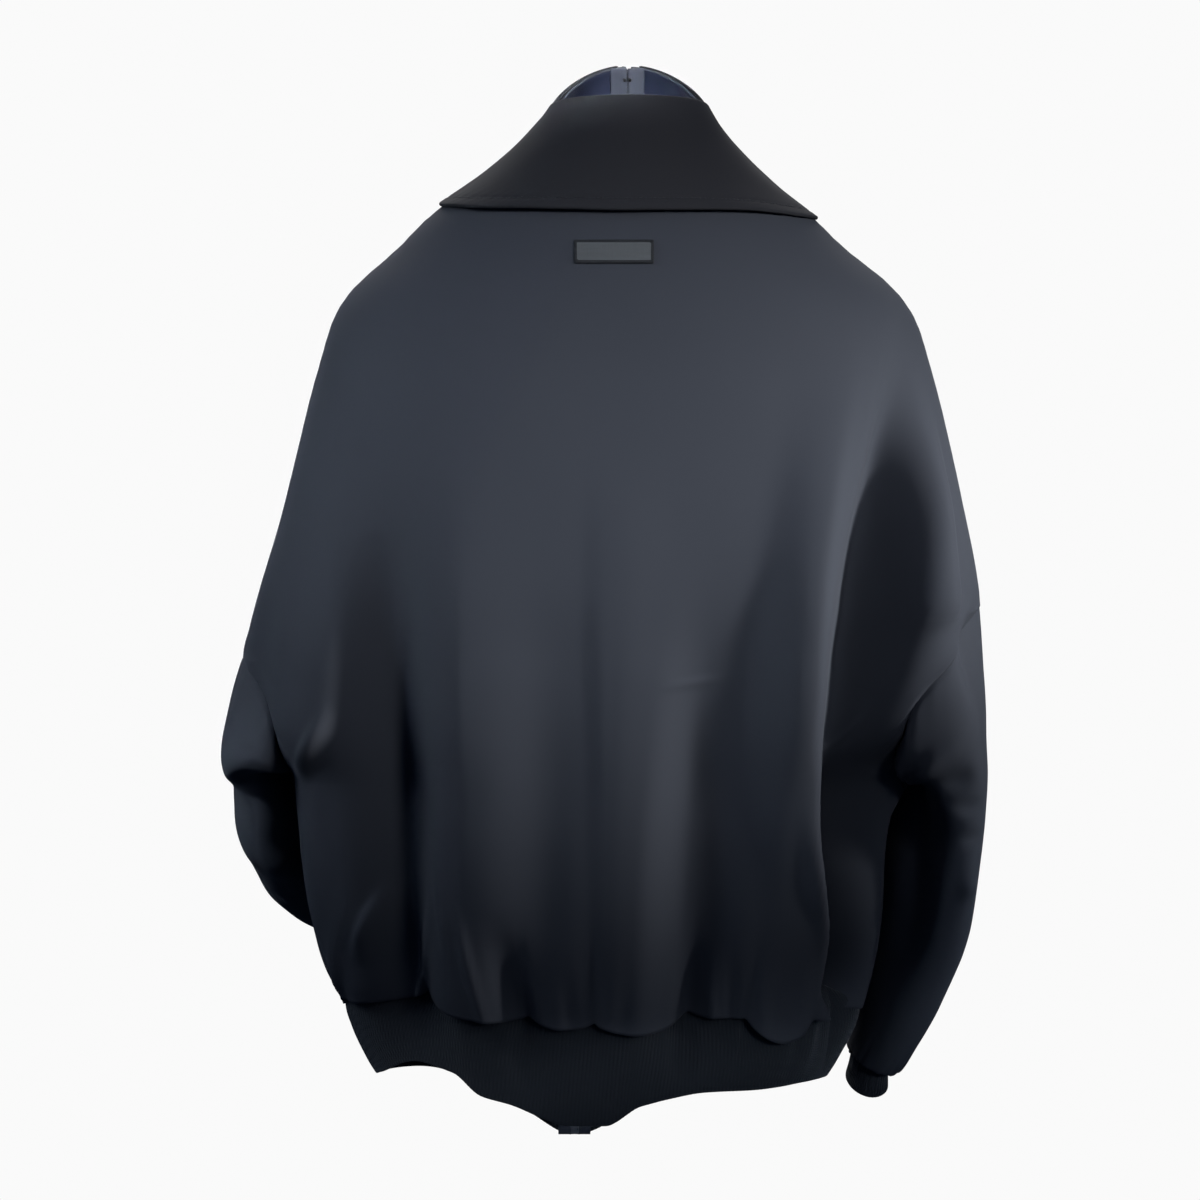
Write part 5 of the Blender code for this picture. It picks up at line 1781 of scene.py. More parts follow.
@dataclass
class LowerSleeve:
    """A lower sleeve, from the armhole to the seam on the cuff, counted outwards from the body."""

    side: Side
    rows: int = 124
    columns: int = 120
    first_rows: tuple[float, ...] = (0.0, 0.004, 0.009, 0.016)
    thickness: float = 1.1
    edge_inset: float = 0.4
    join: float = 0.2
    boxiness: float = 1.4
    boxy_until: float = 0.34
    calm: float = 3.5
    hold_top: float = 0.05
    hold_foot: Pair = (0.90, 0.06)
    pleats: int = 15
    pleat_depth: float = 2.6
    pleat_drift: Pair = (0.32, 0.2)
    pleat_level: float = 0.72
    pleat_reach: Pair = (0.10, 0.05)
    waves: Waves = ((0.35, 52, 11), (0.14, 23, 12))
    seam: Seam = Seam(pitch=16)
    cut: Cut | None = None
    cuff_seam: Array | None = field(default=None, repr=False)

    def ring(self, at: Array, around: Array) -> Array:
        """Points of the sleeve's rings, before the armhole and the folds.

        Args:
            at: share of the way along the sleeve.
            around: angle round it, in radians.

        Returns:
            The points.
        """
        table = SLEEVE_RINGS[self.side]

        def look(name: str) -> Array:
            """That value of the rings."""
            return smooth_curve(column(table, "at"), column(table, name), at)

        centre = np.stack([look("out"), look("y"), look("height")], -1)
        across, deep = ring_axes(look("tilt"), look("pitch"), look("yaw"))
        power = 2 / (2 + self.boxiness * (1 - ease(at / self.boxy_until)))
        cos, sin = np.cos(around), np.sin(around)
        wide = (look("half_width") * np.sign(cos) * np.abs(cos) ** power)[..., None]
        long = (look("half_depth") * np.sign(sin) * np.abs(sin) ** power)[..., None]
        return centre + across * wide + deep * long

    def armhole(self, around: Array) -> tuple[Array, Array]:
        """The armhole's seam.

        Args:
            around: angle round it, in radians.

        Returns:
            Its points, and the body's directions there.
        """
        around = np.mod(around, 2 * math.pi)
        face = np.where(around <= math.pi, B, F)
        row = Row.ARM + np.where(around <= math.pi, around, 2 * math.pi - around) / math.pi
        points, outward = BODY.surface(self.side, face, np.ones(around.shape), row)
        return points * self.side.flip, outward * self.side.flip

    def fold_depth(self, at: Array, around: Array) -> Array:
        """How far the folds move the sleeve out.

        Args:
            at: share of the way along the sleeve.
            around: angle round it, in radians.

        Returns:
            The move outwards.
        """
        total = np.zeros(np.broadcast(at, around).shape)
        for fold in SLEEVE_FOLDS[self.side] + SLEEVE_CREASES[self.side]:
            turned = np.mod(np.degrees(around) - fold.around + 180, 360) - 180
            beyond = at - fold.at - fold.lean * turned / 90
            reach = np.where(beyond > 0, fold.onward or fold.half_at, fold.half_at)
            total = total + fold.depth * bell(turned / fold.half_around) * bell(beyond / reach)
        return total

    def pleat(self, at: Array, around: Array) -> Array:
        """How far the small pleats above the cuff move the sleeve.

        Args:
            at: share of the way along the sleeve.
            around: angle round it, in radians.

        Returns:
            The move outwards.
        """
        drift, more = self.pleat_drift
        least, change = self.pleat_reach
        phase = self.pleats * around / (2 * math.pi) + drift * np.sin(3 * around + 1) + (
            more * np.sin(5 * around + self.side))
        lobe = np.sqrt(np.clip(1 - (2 * np.mod(phase, 1) - 1) ** 2, 0, 1)) - self.pleat_level
        reach = least + change * np.sin(2 * around) * np.sin(7 * around)
        return self.pleat_depth * lobe * ease((at - 1 + reach) / reach)

    def surface(self) -> tuple[Array, Array]:
        """The sleeve's grid, counted outwards from the body.

        Returns:
            Its points and directions.
        """
        at = np.concatenate([self.first_rows[:-1], np.linspace(self.first_rows[-1], 1, self.rows)])
        around = (np.arange(self.columns) * 2 * math.pi / self.columns)[None, :]
        at, around = np.broadcast_arrays(at[:, None], around)
        seam, body_out = self.armhole(around)
        points = self.ring(at, around)
        points = points + (seam - self.ring(0 * at, around)) * (1 - ease(at / self.join))[..., None]
        centre = (points + self.ring(at, around + math.pi)) / 2
        points = points + unit(points - centre) * self.fold_depth(at, around)[..., None]
        foot, foot_over = self.hold_foot
        hold = np.maximum(1 - ease(at / self.hold_top), ease((at - foot) / foot_over))
        points = calm_rows(points, self.calm, hold, lengths(points, 0).mean(1))
        outward = directions(points, True)
        moved = self.pleat(at, around) + uneven(points, self.waves)
        moved = self.seam.sewn(moved, lengths(points, 1), lengths(points, 0))
        with_body = (np.cos(around[0] / 2) ** 2)[:, None]
        outward[0] = unit(outward[0] * (1 - with_body) + body_out[0] * with_body)
        points = points + outward * moved[..., None]
        outward[1:] = directions(points, True)[1:]
        return points, outward

    def build(self) -> list[Piece]:
        """Makes the sleeve and keeps its last ring for the cuff.

        Returns:
            The sleeve.
        """
        points, outward = self.surface()
        self.cuff_seam = points[-1].copy()
        points[0] = points[0] + unit(points[1] - points[0]) * self.edge_inset
        word, flip = self.side.word, self.side.flip
        wall = Cloth(f"lower_sleeve_{word}", points * flip, outward * flip, self.thickness, True)
        made = wall.build(SATIN.material(), LINING.material())
        return [Piece(made, Slot.SATIN, (f"sleeve_{word}",), cut=self.cut)]


@dataclass(frozen=True)
class Knit:
    """The knit of a band or cuff: upright ribs, which are lower near its edges."""

    ribs: int
    steps: int
    depth: float
    thickness: float
    sharpness: float = 0.7
    level: float = 0.6
    edge_rows: int = 3
    edge_share: float = 0.4

    def resample(self, points: Array, closed: bool) -> Array:
        """Spaces a grid's columns evenly, with some for each rib.

        Args:
            points: the grid.
            closed: whether the columns go all round.

        Returns:
            The new grid.
        """
        count = self.ribs * self.steps + (0 if closed else 1)
        if closed:
            points = np.concatenate([points, points[:, :1]], 1)
        along = lengths(points, 1)
        made = np.empty((len(points), count, 3))
        for row, (line, at) in enumerate(zip(points, along)):
            want = np.linspace(0, at[-1], count, endpoint=not closed)
            made[row] = on_line(want, at, line)
        return made

    def ribbed(self, points: Array, outward: Array) -> Array:
        """Moves a grid's columns in and out by the ribs, and less so near its edges.

        Args:
            points: the grid.
            outward: directions outwards.

        Returns:
            The ribbed grid.
        """
        count, rows = points.shape[1], np.arange(len(points))
        wave = np.abs(np.sin(math.pi * self.ribs * np.arange(count) / count))
        near_edge = np.clip(np.minimum(rows, len(points) - 1 - rows) / self.edge_rows, 0, 1)
        share = self.edge_share + (1 - self.edge_share) * near_edge
        moved = (wave**self.sharpness - self.level)[None, :] * self.depth * share[:, None]
        return points + outward * moved[..., None]


@dataclass
class Cuff:
    """A knitted cuff on a sleeve's last ring."""

    side: Side
    knit: Knit = Knit(ribs=58, steps=6, depth=0.55, thickness=2.6)
    rows: int = 26
    waist: float = 1.4
    gap: float = 0.3
    waves: Waves = ((0.5, 30, 17),)
    cut: Cut | None = None

    def build(self, seam: Array) -> list[Piece]:
        """Makes the cuff.

        Args:
            seam: the sleeve's last ring, counted outwards from the body.

        Returns:
            The piece.
        """
        size, word, flip = CUFF_CUTS[self.side], self.side.word, self.side.flip
        centre = seam.mean(0)
        reach = np.linalg.norm(seam - centre, axis=-1, keepdims=True)
        top = centre + (seam - centre) * (1 - (size.inset + self.knit.depth) / reach)
        across, deep = ring_axes(*(np.array(float(v)) for v in (size.tilt, size.pitch, size.yaw)))
        onward = np.cross(across, deep)
        onward = onward * -np.sign(onward[2])
        around = (np.arange(len(seam)) * 2 * math.pi / len(seam))[:, None]
        foot = centre + onward * size.length + across * size.foot_width * np.cos(around) + (
            deep * size.foot_depth * np.sin(around))
        share = np.linspace(0, 1, self.rows)[:, None, None]
        points = top + (foot - top) * share + onward * self.gap
        drawn_in = self.waist * np.sin(math.pi * share) * unit(
            points - points.mean(1, keepdims=True))
        points = self.knit.resample(points - drawn_in, True)
        outward = directions(points, True)
        points = points + outward * uneven(points, self.waves)[..., None]
        points = self.knit.ribbed(points, outward)
        wall = Cloth(f"ribbed_cuff_{word}", points * flip, directions(points, True) * flip,
                     self.knit.thickness, True, edge_steps=5)
        # The knit's raised colour is painted light.
        return [Piece(wall.build(PAINTED_LIGHT_KNIT.material()), Slot.KNIT, (f"cuff_{word}",), cut=self.cut)]


def front_ring(columns_back: int, columns_front: int, row: Row, zip_gap: float) -> Array:
    """Places round the body, from the zip's left edge over the back to its right edge.

    Args:
        columns_back: how many steps each half of the back has.
        columns_front: how many steps each front has.
        row: the row whose edge beside the zip is meant.
        zip_gap: how far from the middle that edge lies.

    Returns:
        The sides, faces and shares of the places.
    """
    edge = float(BODY.zip_edge_share(L, np.array([float(row)]), zip_gap)[0])
    front = edge + (1 - edge) * np.linspace(0, 1, columns_front + 1)
    back = np.linspace(0, 1, columns_back + 1)
    places = [(L, F, s) for s in front]
    places += [(L, B, s) for s in back[::-1][1:]]
    places += [(R, B, s) for s in back[1:]]
    places += [(R, F, s) for s in front[::-1][1:]]
    return np.array(places, float).T


@dataclass
class HemBand:
    """The knitted hem band, from one side of the zip round the back to the other."""

    zip_gap: float = 3.6
    columns: tuple[int, int] = (90, 80)
    foot: Quad = (186, 170, 122, 124)
    foot_side: float = 4
    foot_boxiness: float = 2.2
    up: float = 3.0
    inwards: float = 2.0
    bow: float = 3.0
    bow_side: float = 13.0
    bow_side_reach: float = 0.55
    knit: Knit = Knit(ribs=330, steps=4, depth=0.5, thickness=2.7)
    rows: int = 24
    waves: Waves = ((0.8, 60, 21), (0.35, 22, 22))
    cut: Cut | None = None

    def surface(self) -> Array:
        """The band's outer face, before the ribs.

        Returns:
            Its grid of points.
        """
        side, face, share = front_ring(*self.columns, Row.SEAM, self.zip_gap)
        row = np.full(share.shape, float(Row.SEAM))
        seam, outward = BODY.surface(side, face, share, row, False)
        flat = unit(outward * np.array([1.0, 1.0, 0.0]))
        turn = BODY.turn_of(side, face, share)
        top = seam - flat * self.inwards + np.array([0.0, 0.0, self.up])
        height = BODY.hem_height("band", turn)
        middle = BODY.section(side, face, height)[2]
        left, right, back, front = self.foot
        reach = np.where(side == L, left - middle, right + middle)
        depth = np.where(face == B, back - self.foot_side, front + self.foot_side)
        x, y, _ = BODY.quarter_arc(reach, depth, self.foot_boxiness, share)
        foot = np.stack([middle + side * x, self.foot_side + face * y, height], -1)
        down = np.linspace(0, 1, self.rows)[:, None, None]
        at_side = bell((np.abs(np.mod(turn, 2) - 1)) / self.bow_side_reach)[..., None]
        bow = self.bow * np.sin(math.pi * down) * down + (
            self.bow_side * at_side * np.sin(math.pi * np.sqrt(down)))
        return top + (foot - top) * down + flat * bow

    def build(self) -> list[Piece]:
        """Makes the band.

        Returns:
            The piece.
        """
        points = self.knit.resample(self.surface(), False)
        outward = directions(points, False)
        points = points + outward * uneven(points, self.waves)[..., None]
        points = self.knit.ribbed(points, outward)
        outward = directions(points, False, outward)
        wall = Cloth("ribbed_hem_band", points, outward, self.knit.thickness, edge_steps=5)
        # The knit's raised colour is painted light.
        return [Piece(wall.build(PAINTED_LIGHT_KNIT.material()), Slot.KNIT, ("hem_band",), cut=self.cut)]


@dataclass(frozen=True)
class CollarForm:
    """The neckband that stands on the neckline, and the fall that folds down over it."""

    top: Quad = (45, 71, 65, 60)
    height_back: float = 36
    height_side: float = 25
    height_front: float = 62
    round_back: float = 0.5
    round_front: float = 1.35
    fall_wall: float = 3.0
    off_neckband: float = 1.0
    off_body: float = 4.0
    off_shoulder: float = -1.2
    fold_rise: float = 1.5
    slope_middle: float = 0.55
    turn_top: float = 1.90
    turn_edge: float = 1.62
    hollow_middle: float = 5
    hollow_side: float = 17

    def neck_ring(self, turn: Array) -> Array:
        """Points of the neckband's top edge.

        Args:
            turn: turns round the neck.

        Returns:
            The points.
        """
        middle = BODY.section(L, B, np.array(self.height_back))[2]
        is_left = np.mod(turn, 4) <= 2
        is_back = (np.mod(turn, 4) <= 1) | (np.mod(turn, 4) >= 3)
        left, right, back, front = self.top
        reach = np.where(is_left, left - middle, right + middle)
        depth = np.where(is_back, back, front)
        angle = turn * QUARTER
        facing = np.cos(angle)
        end = np.where(is_back, self.height_back, self.height_front)
        power = np.where(is_back, self.round_back, self.round_front)
        height = self.height_side + (end - self.height_side) * np.abs(facing) ** power
        return np.stack([middle + reach * np.sin(angle), depth * facing, height], -1)

    def edge(self, turn: Array) -> tuple[Array, Array]:
        """The fall's lower edge, which rests on the body.

        Args:
            turn: turns round the neck, from the middle of the back either way.

        Returns:
            Its points, and the directions outwards there.
        """
        sine = np.sin(turn * QUARTER)
        around = np.mod(turn, 4)
        side = np.where(around <= 2, L, R)
        face = np.where((around <= 1) | (around >= 3), B, F)
        share = 1 - np.abs(np.mod(around, 2) - 1)
        height = round_curve(column(FALL_EDGE, "turn"), column(FALL_EDGE, "height"), around)
        reach, depth, middle, line, boxiness = BODY.section(side, face, height)
        x, y, _ = BODY.quarter_arc(reach, depth, boxiness, share)
        out = oval_normal(side, face, x, y, reach, depth, boxiness)
        slope = self.slope_middle + (1 - self.slope_middle) * np.abs(sine)
        rest = np.stack([middle + side * x, line + face * y, height], -1)
        off = self.off_body + (self.off_shoulder - self.off_body) * (sine[..., None] ** 2) ** 2
        return rest + (out + lifted(slope)) * (self.fall_wall + off), out

    def fall(self, along: Array, down: Array) -> Array:
        """Outer points of the fall.

        Args:
            along: from -1 to 1 round the neck.
            down: from 0 at the fold to 1 at the lower edge.

        Returns:
            The points.
        """
        top_turn, edge_turn = along * self.turn_top, along * self.turn_edge
        angle = top_turn * QUARTER
        away = np.stack([np.sin(angle), np.cos(angle), 0 * top_turn], -1)
        top = self.neck_ring(top_turn) + away * (self.fall_wall + self.off_neckband)
        top = top + np.array([0.0, 0.0, self.fold_rise])
        edge, out = self.edge(edge_turn)
        at_side = np.sin(edge_turn * QUARTER)[..., None] ** 2
        hollow = self.hollow_middle + (self.hollow_side - self.hollow_middle) * at_side
        bend = (top + edge) / 2 - out * hollow
        down = down[..., None]
        return (1 - down) ** 2 * top + 2 * down * (1 - down) * bend + down**2 * edge


COLLAR = CollarForm()


@dataclass
class Collar:
    """The satin neckband and the knitted fall."""

    zip_gap: float = 3.6
    band_thickness: float = 2.4
    band_columns: tuple[int, int] = (70, 60)
    band_rows: int = 24
    band_up: float = 0.3
    band_waves: Waves = ((0.4, 34, 31),)
    band_groove: Triple = (0.5, 58, 3)
    fall_columns: int = 260
    fall_rows: int = 56
    fall_crowding: float = 0.95
    fall_waves: Waves = ((0.9, 70, 41), (0.4, 31, 42))
    plain_below_fold: float = 0.25
    stitched: Seam = Seam(0.55, 1.3, 0.25, 11, 5, 0)
    stitch_up: float = 8.0
    stitch_off: float = 0.1
    unstitched: int = 3
    band_cut: Cut | None = None
    fall_cut: Cut | None = None

    def neckband(self) -> list[Piece]:
        """Makes the neckband, which the zip splits.

        Returns:
            The piece.
        """
        side, face, share = front_ring(*self.band_columns, Row.NECK, self.zip_gap)
        neck, _ = BODY.surface(side, face, share, np.zeros(share.shape))
        top = COLLAR.neck_ring(BODY.turn_of(side, face, share))
        top[[0, -1], 0] = neck[[0, -1], 0]
        up = np.linspace(0, 1, self.band_rows)[::-1, None, None]
        points = neck + (top - neck) * up + np.array([0.0, 0.0, self.band_up])
        outward = directions(points, False)
        depth, at, width = self.band_groove
        moved = uneven(points, self.band_waves) - depth * groove(lengths(points, 0) - at, width)
        points = points + outward * (moved * np.sin(math.pi * up[..., 0]))[..., None]
        outward = directions(points, False, outward)
        wall = Cloth("collar_neckband", points, outward, self.band_thickness, edge_steps=5)
        made = wall.build(SATIN.material(), NECK_SATIN.material())
        return [Piece(made, Slot.SATIN, ("neckband",), cut=self.band_cut)]

    def fall(self) -> list[Piece]:
        """Makes the fall with a stitched line above its edge.

        Returns:
            The fall and its stitches.
        """
        along = np.linspace(1, -1, self.fall_columns)[None, :]
        down = (np.linspace(0, 1, self.fall_rows) ** self.fall_crowding)[:, None]
        along, down = np.broadcast_arrays(along, down)
        points = COLLAR.fall(along, down)
        outward = directions(points, False)
        from_stitches = lengths(points[::-1], 0)[::-1] - self.stitch_up
        moved = uneven(points, self.fall_waves) * ease(down / self.plain_below_fold)
        moved = self.stitched.sewn(moved, lengths(points, 1), from_stitches)
        points = points + outward * moved[..., None]
        outward = directions(points, False, outward)
        wall = Cloth("collar_fold_down", points, outward, COLLAR.fall_wall, edge_steps=6)
        made = wall.build(KNIT.material())
        columns = np.arange(self.unstitched, points.shape[1] - self.unstitched)
        rows = np.abs(from_stitches).argmin(0)[columns]
        path, out = points[rows, columns], outward[rows, columns]
        step = points[np.minimum(rows + 1, len(points) - 1), columns] - path
        path = path + unit(step) * from_stitches[rows, columns][:, None]
        line = stitch_line("collar_stitches", path + out * self.stitch_off, out, THREAD.material())
        return [Piece(made, Slot.KNIT, ("collar_fall",), cut=self.fall_cut, extras=(line,)),
                Piece(line, Slot.KNIT)]

    def build(self) -> list[Piece]:
        """Makes both."""
        return self.neckband() + self.fall()


@dataclass(frozen=True)
class ZipForm:
    """Where the zip's tapes run: behind every piece that they pass."""

    top: float = 61.4
    foot: float = -805.6
    behind: float = 0.6
    knit_wall: float = 2.8
    shell_wall: float = 2.2
    arm_steps: int = 11
    armhole_steps: int = 12
    lower_crowding: float = 0.85
    reach: float = 2
    reach_hem: float = 8
    reach_on: float = 1
    hem_zone: float = -700
    slider_height: float = 44
    slider_span: Pair = (8.0, -30.0)

    def front_line(self) -> tuple[Array, Array, Array]:
        """The middle of the front, piece by piece.

        Returns:
            Rows of (height, y of the inner face) for the collar, the fronts and the band.
        """
        neck, _ = BODY.surface(L, F, 0.0, Row.NECK, False)
        top = COLLAR.neck_ring(np.array(2.0))
        rows = np.concatenate([
            np.linspace(Row.NECK, Row.ARM, self.arm_steps, endpoint=False),
            np.linspace(Row.ARM, Row.UNDERARM, self.armhole_steps, endpoint=False),
            Row.UNDERARM + np.linspace(0, 1, self.arm_steps) ** self.lower_crowding])
        fronts, _ = BODY.surface(L, F, 0.0, rows, False)
        seam, _ = BODY.surface(L, F, 0.0, Row.SEAM, False)
        band = HemBand()
        return (
            np.array([(top[2], top[1] + self.knit_wall), (neck[2], neck[1] + self.knit_wall)]),
            np.stack([fronts[:, 2], fronts[:, 1] + self.shell_wall], -1),
            np.array([(seam[2] + band.up, seam[1] + band.inwards + self.knit_wall),
                      (self.foot, -band.foot[3] + self.knit_wall)]),
        )

    def line(self, height: Array) -> tuple[Array, Array]:
        """The middle of the tapes' front face.

        Args:
            height: heights.

        Returns:
            x and y at those heights.
        """
        height = np.asarray(height, float)
        behind = np.full(height.shape, -np.inf)
        for piece in self.front_line():
            for share in (-1, 0, 1):
                at = height + share * np.where(height < self.hem_zone, self.reach_hem, self.reach)
                if len(piece) > 2:
                    y = smooth_curve(piece[:, 0], piece[:, 1], at)
                else:
                    y = np.interp(at, piece[::-1, 0], piece[::-1, 1])
                near = (at <= piece[:, 0].max() + self.reach_on) & (
                    at >= piece[:, 0].min() - self.reach_on)
                behind = np.where(near, np.maximum(behind, y), behind)
        return BODY.section(L, F, height)[2], behind + self.behind

    def frame(self) -> tuple[Array, Array, Array]:
        """The slider's place on the tapes' front face.

        Returns:
            Its origin, and the directions forwards and upwards.
        """
        above, below = self.slider_span
        heights = self.slider_height + np.array([above, 0.0, below])
        x, y = self.line(heights)
        upwards = unit(np.array([0.0, y[0] - y[2], heights[0] - heights[2]]))
        forwards = np.array([0.0, -upwards[2], upwards[1]])
        return np.array([x[1], y[1], heights[1]]), forwards, upwards

    def foot_frame(self, height: float) -> tuple[Array, Array, Array]:
        """The frame of the zip's foot.

        Args:
            height: the height of its box.

        Returns:
            The place of the foot, and directions out of the cloth and up along it.
        """
        heights = np.array([self.foot + height, self.foot])
        x, y = self.line(heights)
        up = unit(np.array([x[0] - x[1], y[0] - y[1], heights[0] - heights[1]]))
        return np.array([x[1], y[1], heights[1]]), np.array([0.0, -up[2], up[1]]), up


ZIP = ZipForm()


@dataclass
class Solids:
    """Closed shapes gathered into one mesh. Their points are (x, up, forwards) until placed."""

    points: list[Array] = field(default_factory=list)
    faces: list[list[int]] = field(default_factory=list)
    size: int = 0

    def add(self, points: Array, faces: Iterable[Sequence[int]]) -> None:
        """Adds a closed shape.

        Args:
            points: its points.
            faces: its faces, as indices of those points.
        """
        self.points.append(np.asarray(points, float))
        self.faces += [[k + self.size for k in face] for face in faces]
        self.size += len(self.points[-1])

    def stack(self, layers: Sequence[tuple[Array, float]], closed: bool = False) -> None:
        """Adds outlines stacked forwards, with a face at each end unless they join in a ring.

        Args:
            layers: each outline's corners and how far forwards it lies.
            closed: whether the last outline is joined to the first.
        """
        count = len(layers[0][0])
        points = np.concatenate([
            np.column_stack([shape, np.full(count, depth)]) for shape, depth in layers])
        last = len(points) - count
        ends = [list(range(count))[::-1], [last + k for k in range(count)]]
        self.add(points, ([] if closed else ends) + ring_faces(count, len(layers), closed))

    def slab(self, outline: Sequence[Sequence[float]], near: float, far: float, edge: float,
             steps: int = 2) -> None:
        """Adds an outline drawn out forwards, with rounded edges.

        Args:
            outline: its corners in order, as (x, up).
            near: where it starts, forwards.
            far: where it ends.
            edge: how far its edges are rounded.
            steps: how finely they are rounded.
        """
        flat = np.array(outline, float)
        centre = flat.mean(0)
        way = unit(np.roll(flat, -1, 0) - flat) + unit(np.roll(flat, 1, 0) - flat)
        side = np.sign((way * (centre - flat)).sum(-1, keepdims=True))
        bent = np.abs(way).sum(-1, keepdims=True) > 1e-6
        inwards = unit(np.where(bent, way * side, centre - flat))
        angles = np.linspace(0, QUARTER, steps + 1)
        half = [(flat + inwards * edge * (1 - math.sin(a)), edge * (1 - math.cos(a)))
                for a in angles]
        self.stack([(shape, near + depth) for shape, depth in half]
                   + [(shape, far - depth) for shape, depth in half[::-1]])

    def plate(self, shape: Sequence[float], near: float, far: float, edge: float,
              steps: int = 2) -> None:
        """Adds a tapered plate with round corners: a slab of rounded_outline(*shape)."""
        self.slab(rounded_outline(*shape), near, far, edge, steps)

    def framed(self, outer: Sequence, inner: Sequence, near: float, far: float,
               edge: float = 0.3) -> None:
        """Adds a plate with a hole and bevelled edges.

        Args:
            outer: the plate's corners, as (x, up).
            inner: the hole's corners, as many as the plate's.
            near: where it starts, forwards.
            far: where it ends.
            edge: how wide the bevels are.
        """
        out, hole = np.array(outer), np.array(inner)
        small = out + unit(out.mean(0) - out) * edge
        wide = hole + unit(hole - hole.mean(0)) * edge
        self.stack([(out, near + edge), (out, far - edge), (small, far), (wide, far),
                    (hole, far - edge), (hole, near + edge), (wide, near), (small, near)], True)

    def metal(self, name: str, frame: tuple[Array, Array, Array]) -> Object:
        """Makes the metal part.

        Args:
            name: its name.
            frame: its origin, and the directions forwards and upwards.

        Returns:
            The new object.
        """
        origin, forwards, upwards = frame
        local = np.concatenate(self.points)
        across = np.array([1.0, 0.0, 0.0])
        points = origin + local[:, :1] * across + local[:, 1:2] * upwards + local[:, 2:] * forwards
        return make_object(name, points, self.faces, [METAL.material()], smooth=False)


def rounded_outline(
    width_top: float, width_foot: float, low: float, high: float, corner: float, steps: int = 6
) -> list[Pair]:
    """Corners of a tapered plate with round corners.

    Args:
        width_top: its width at the top.
        width_foot: its width at the foot.
        low: the foot's place, upwards.
        high: the top's place.
        corner: the corners' radius.
        steps: how finely they are rounded.

    Returns:
        The corners, as (x, up).
    """
    made: list[Pair] = []
    ends = ((width_foot / 2, low, -90), (width_top / 2, high, 0), (-width_top / 2, high, 90),
            (-width_foot / 2, low, 180))
    for x, up, start in ends:
        centre_x = x - math.copysign(corner, x)
        centre_up = up + corner if up == low else up - corner
        for k in range(steps + 1):
            angle = math.radians(start + 90 * k / steps)
            made.append((centre_x + corner * math.cos(angle), centre_up + corner * math.sin(angle)))
    return made


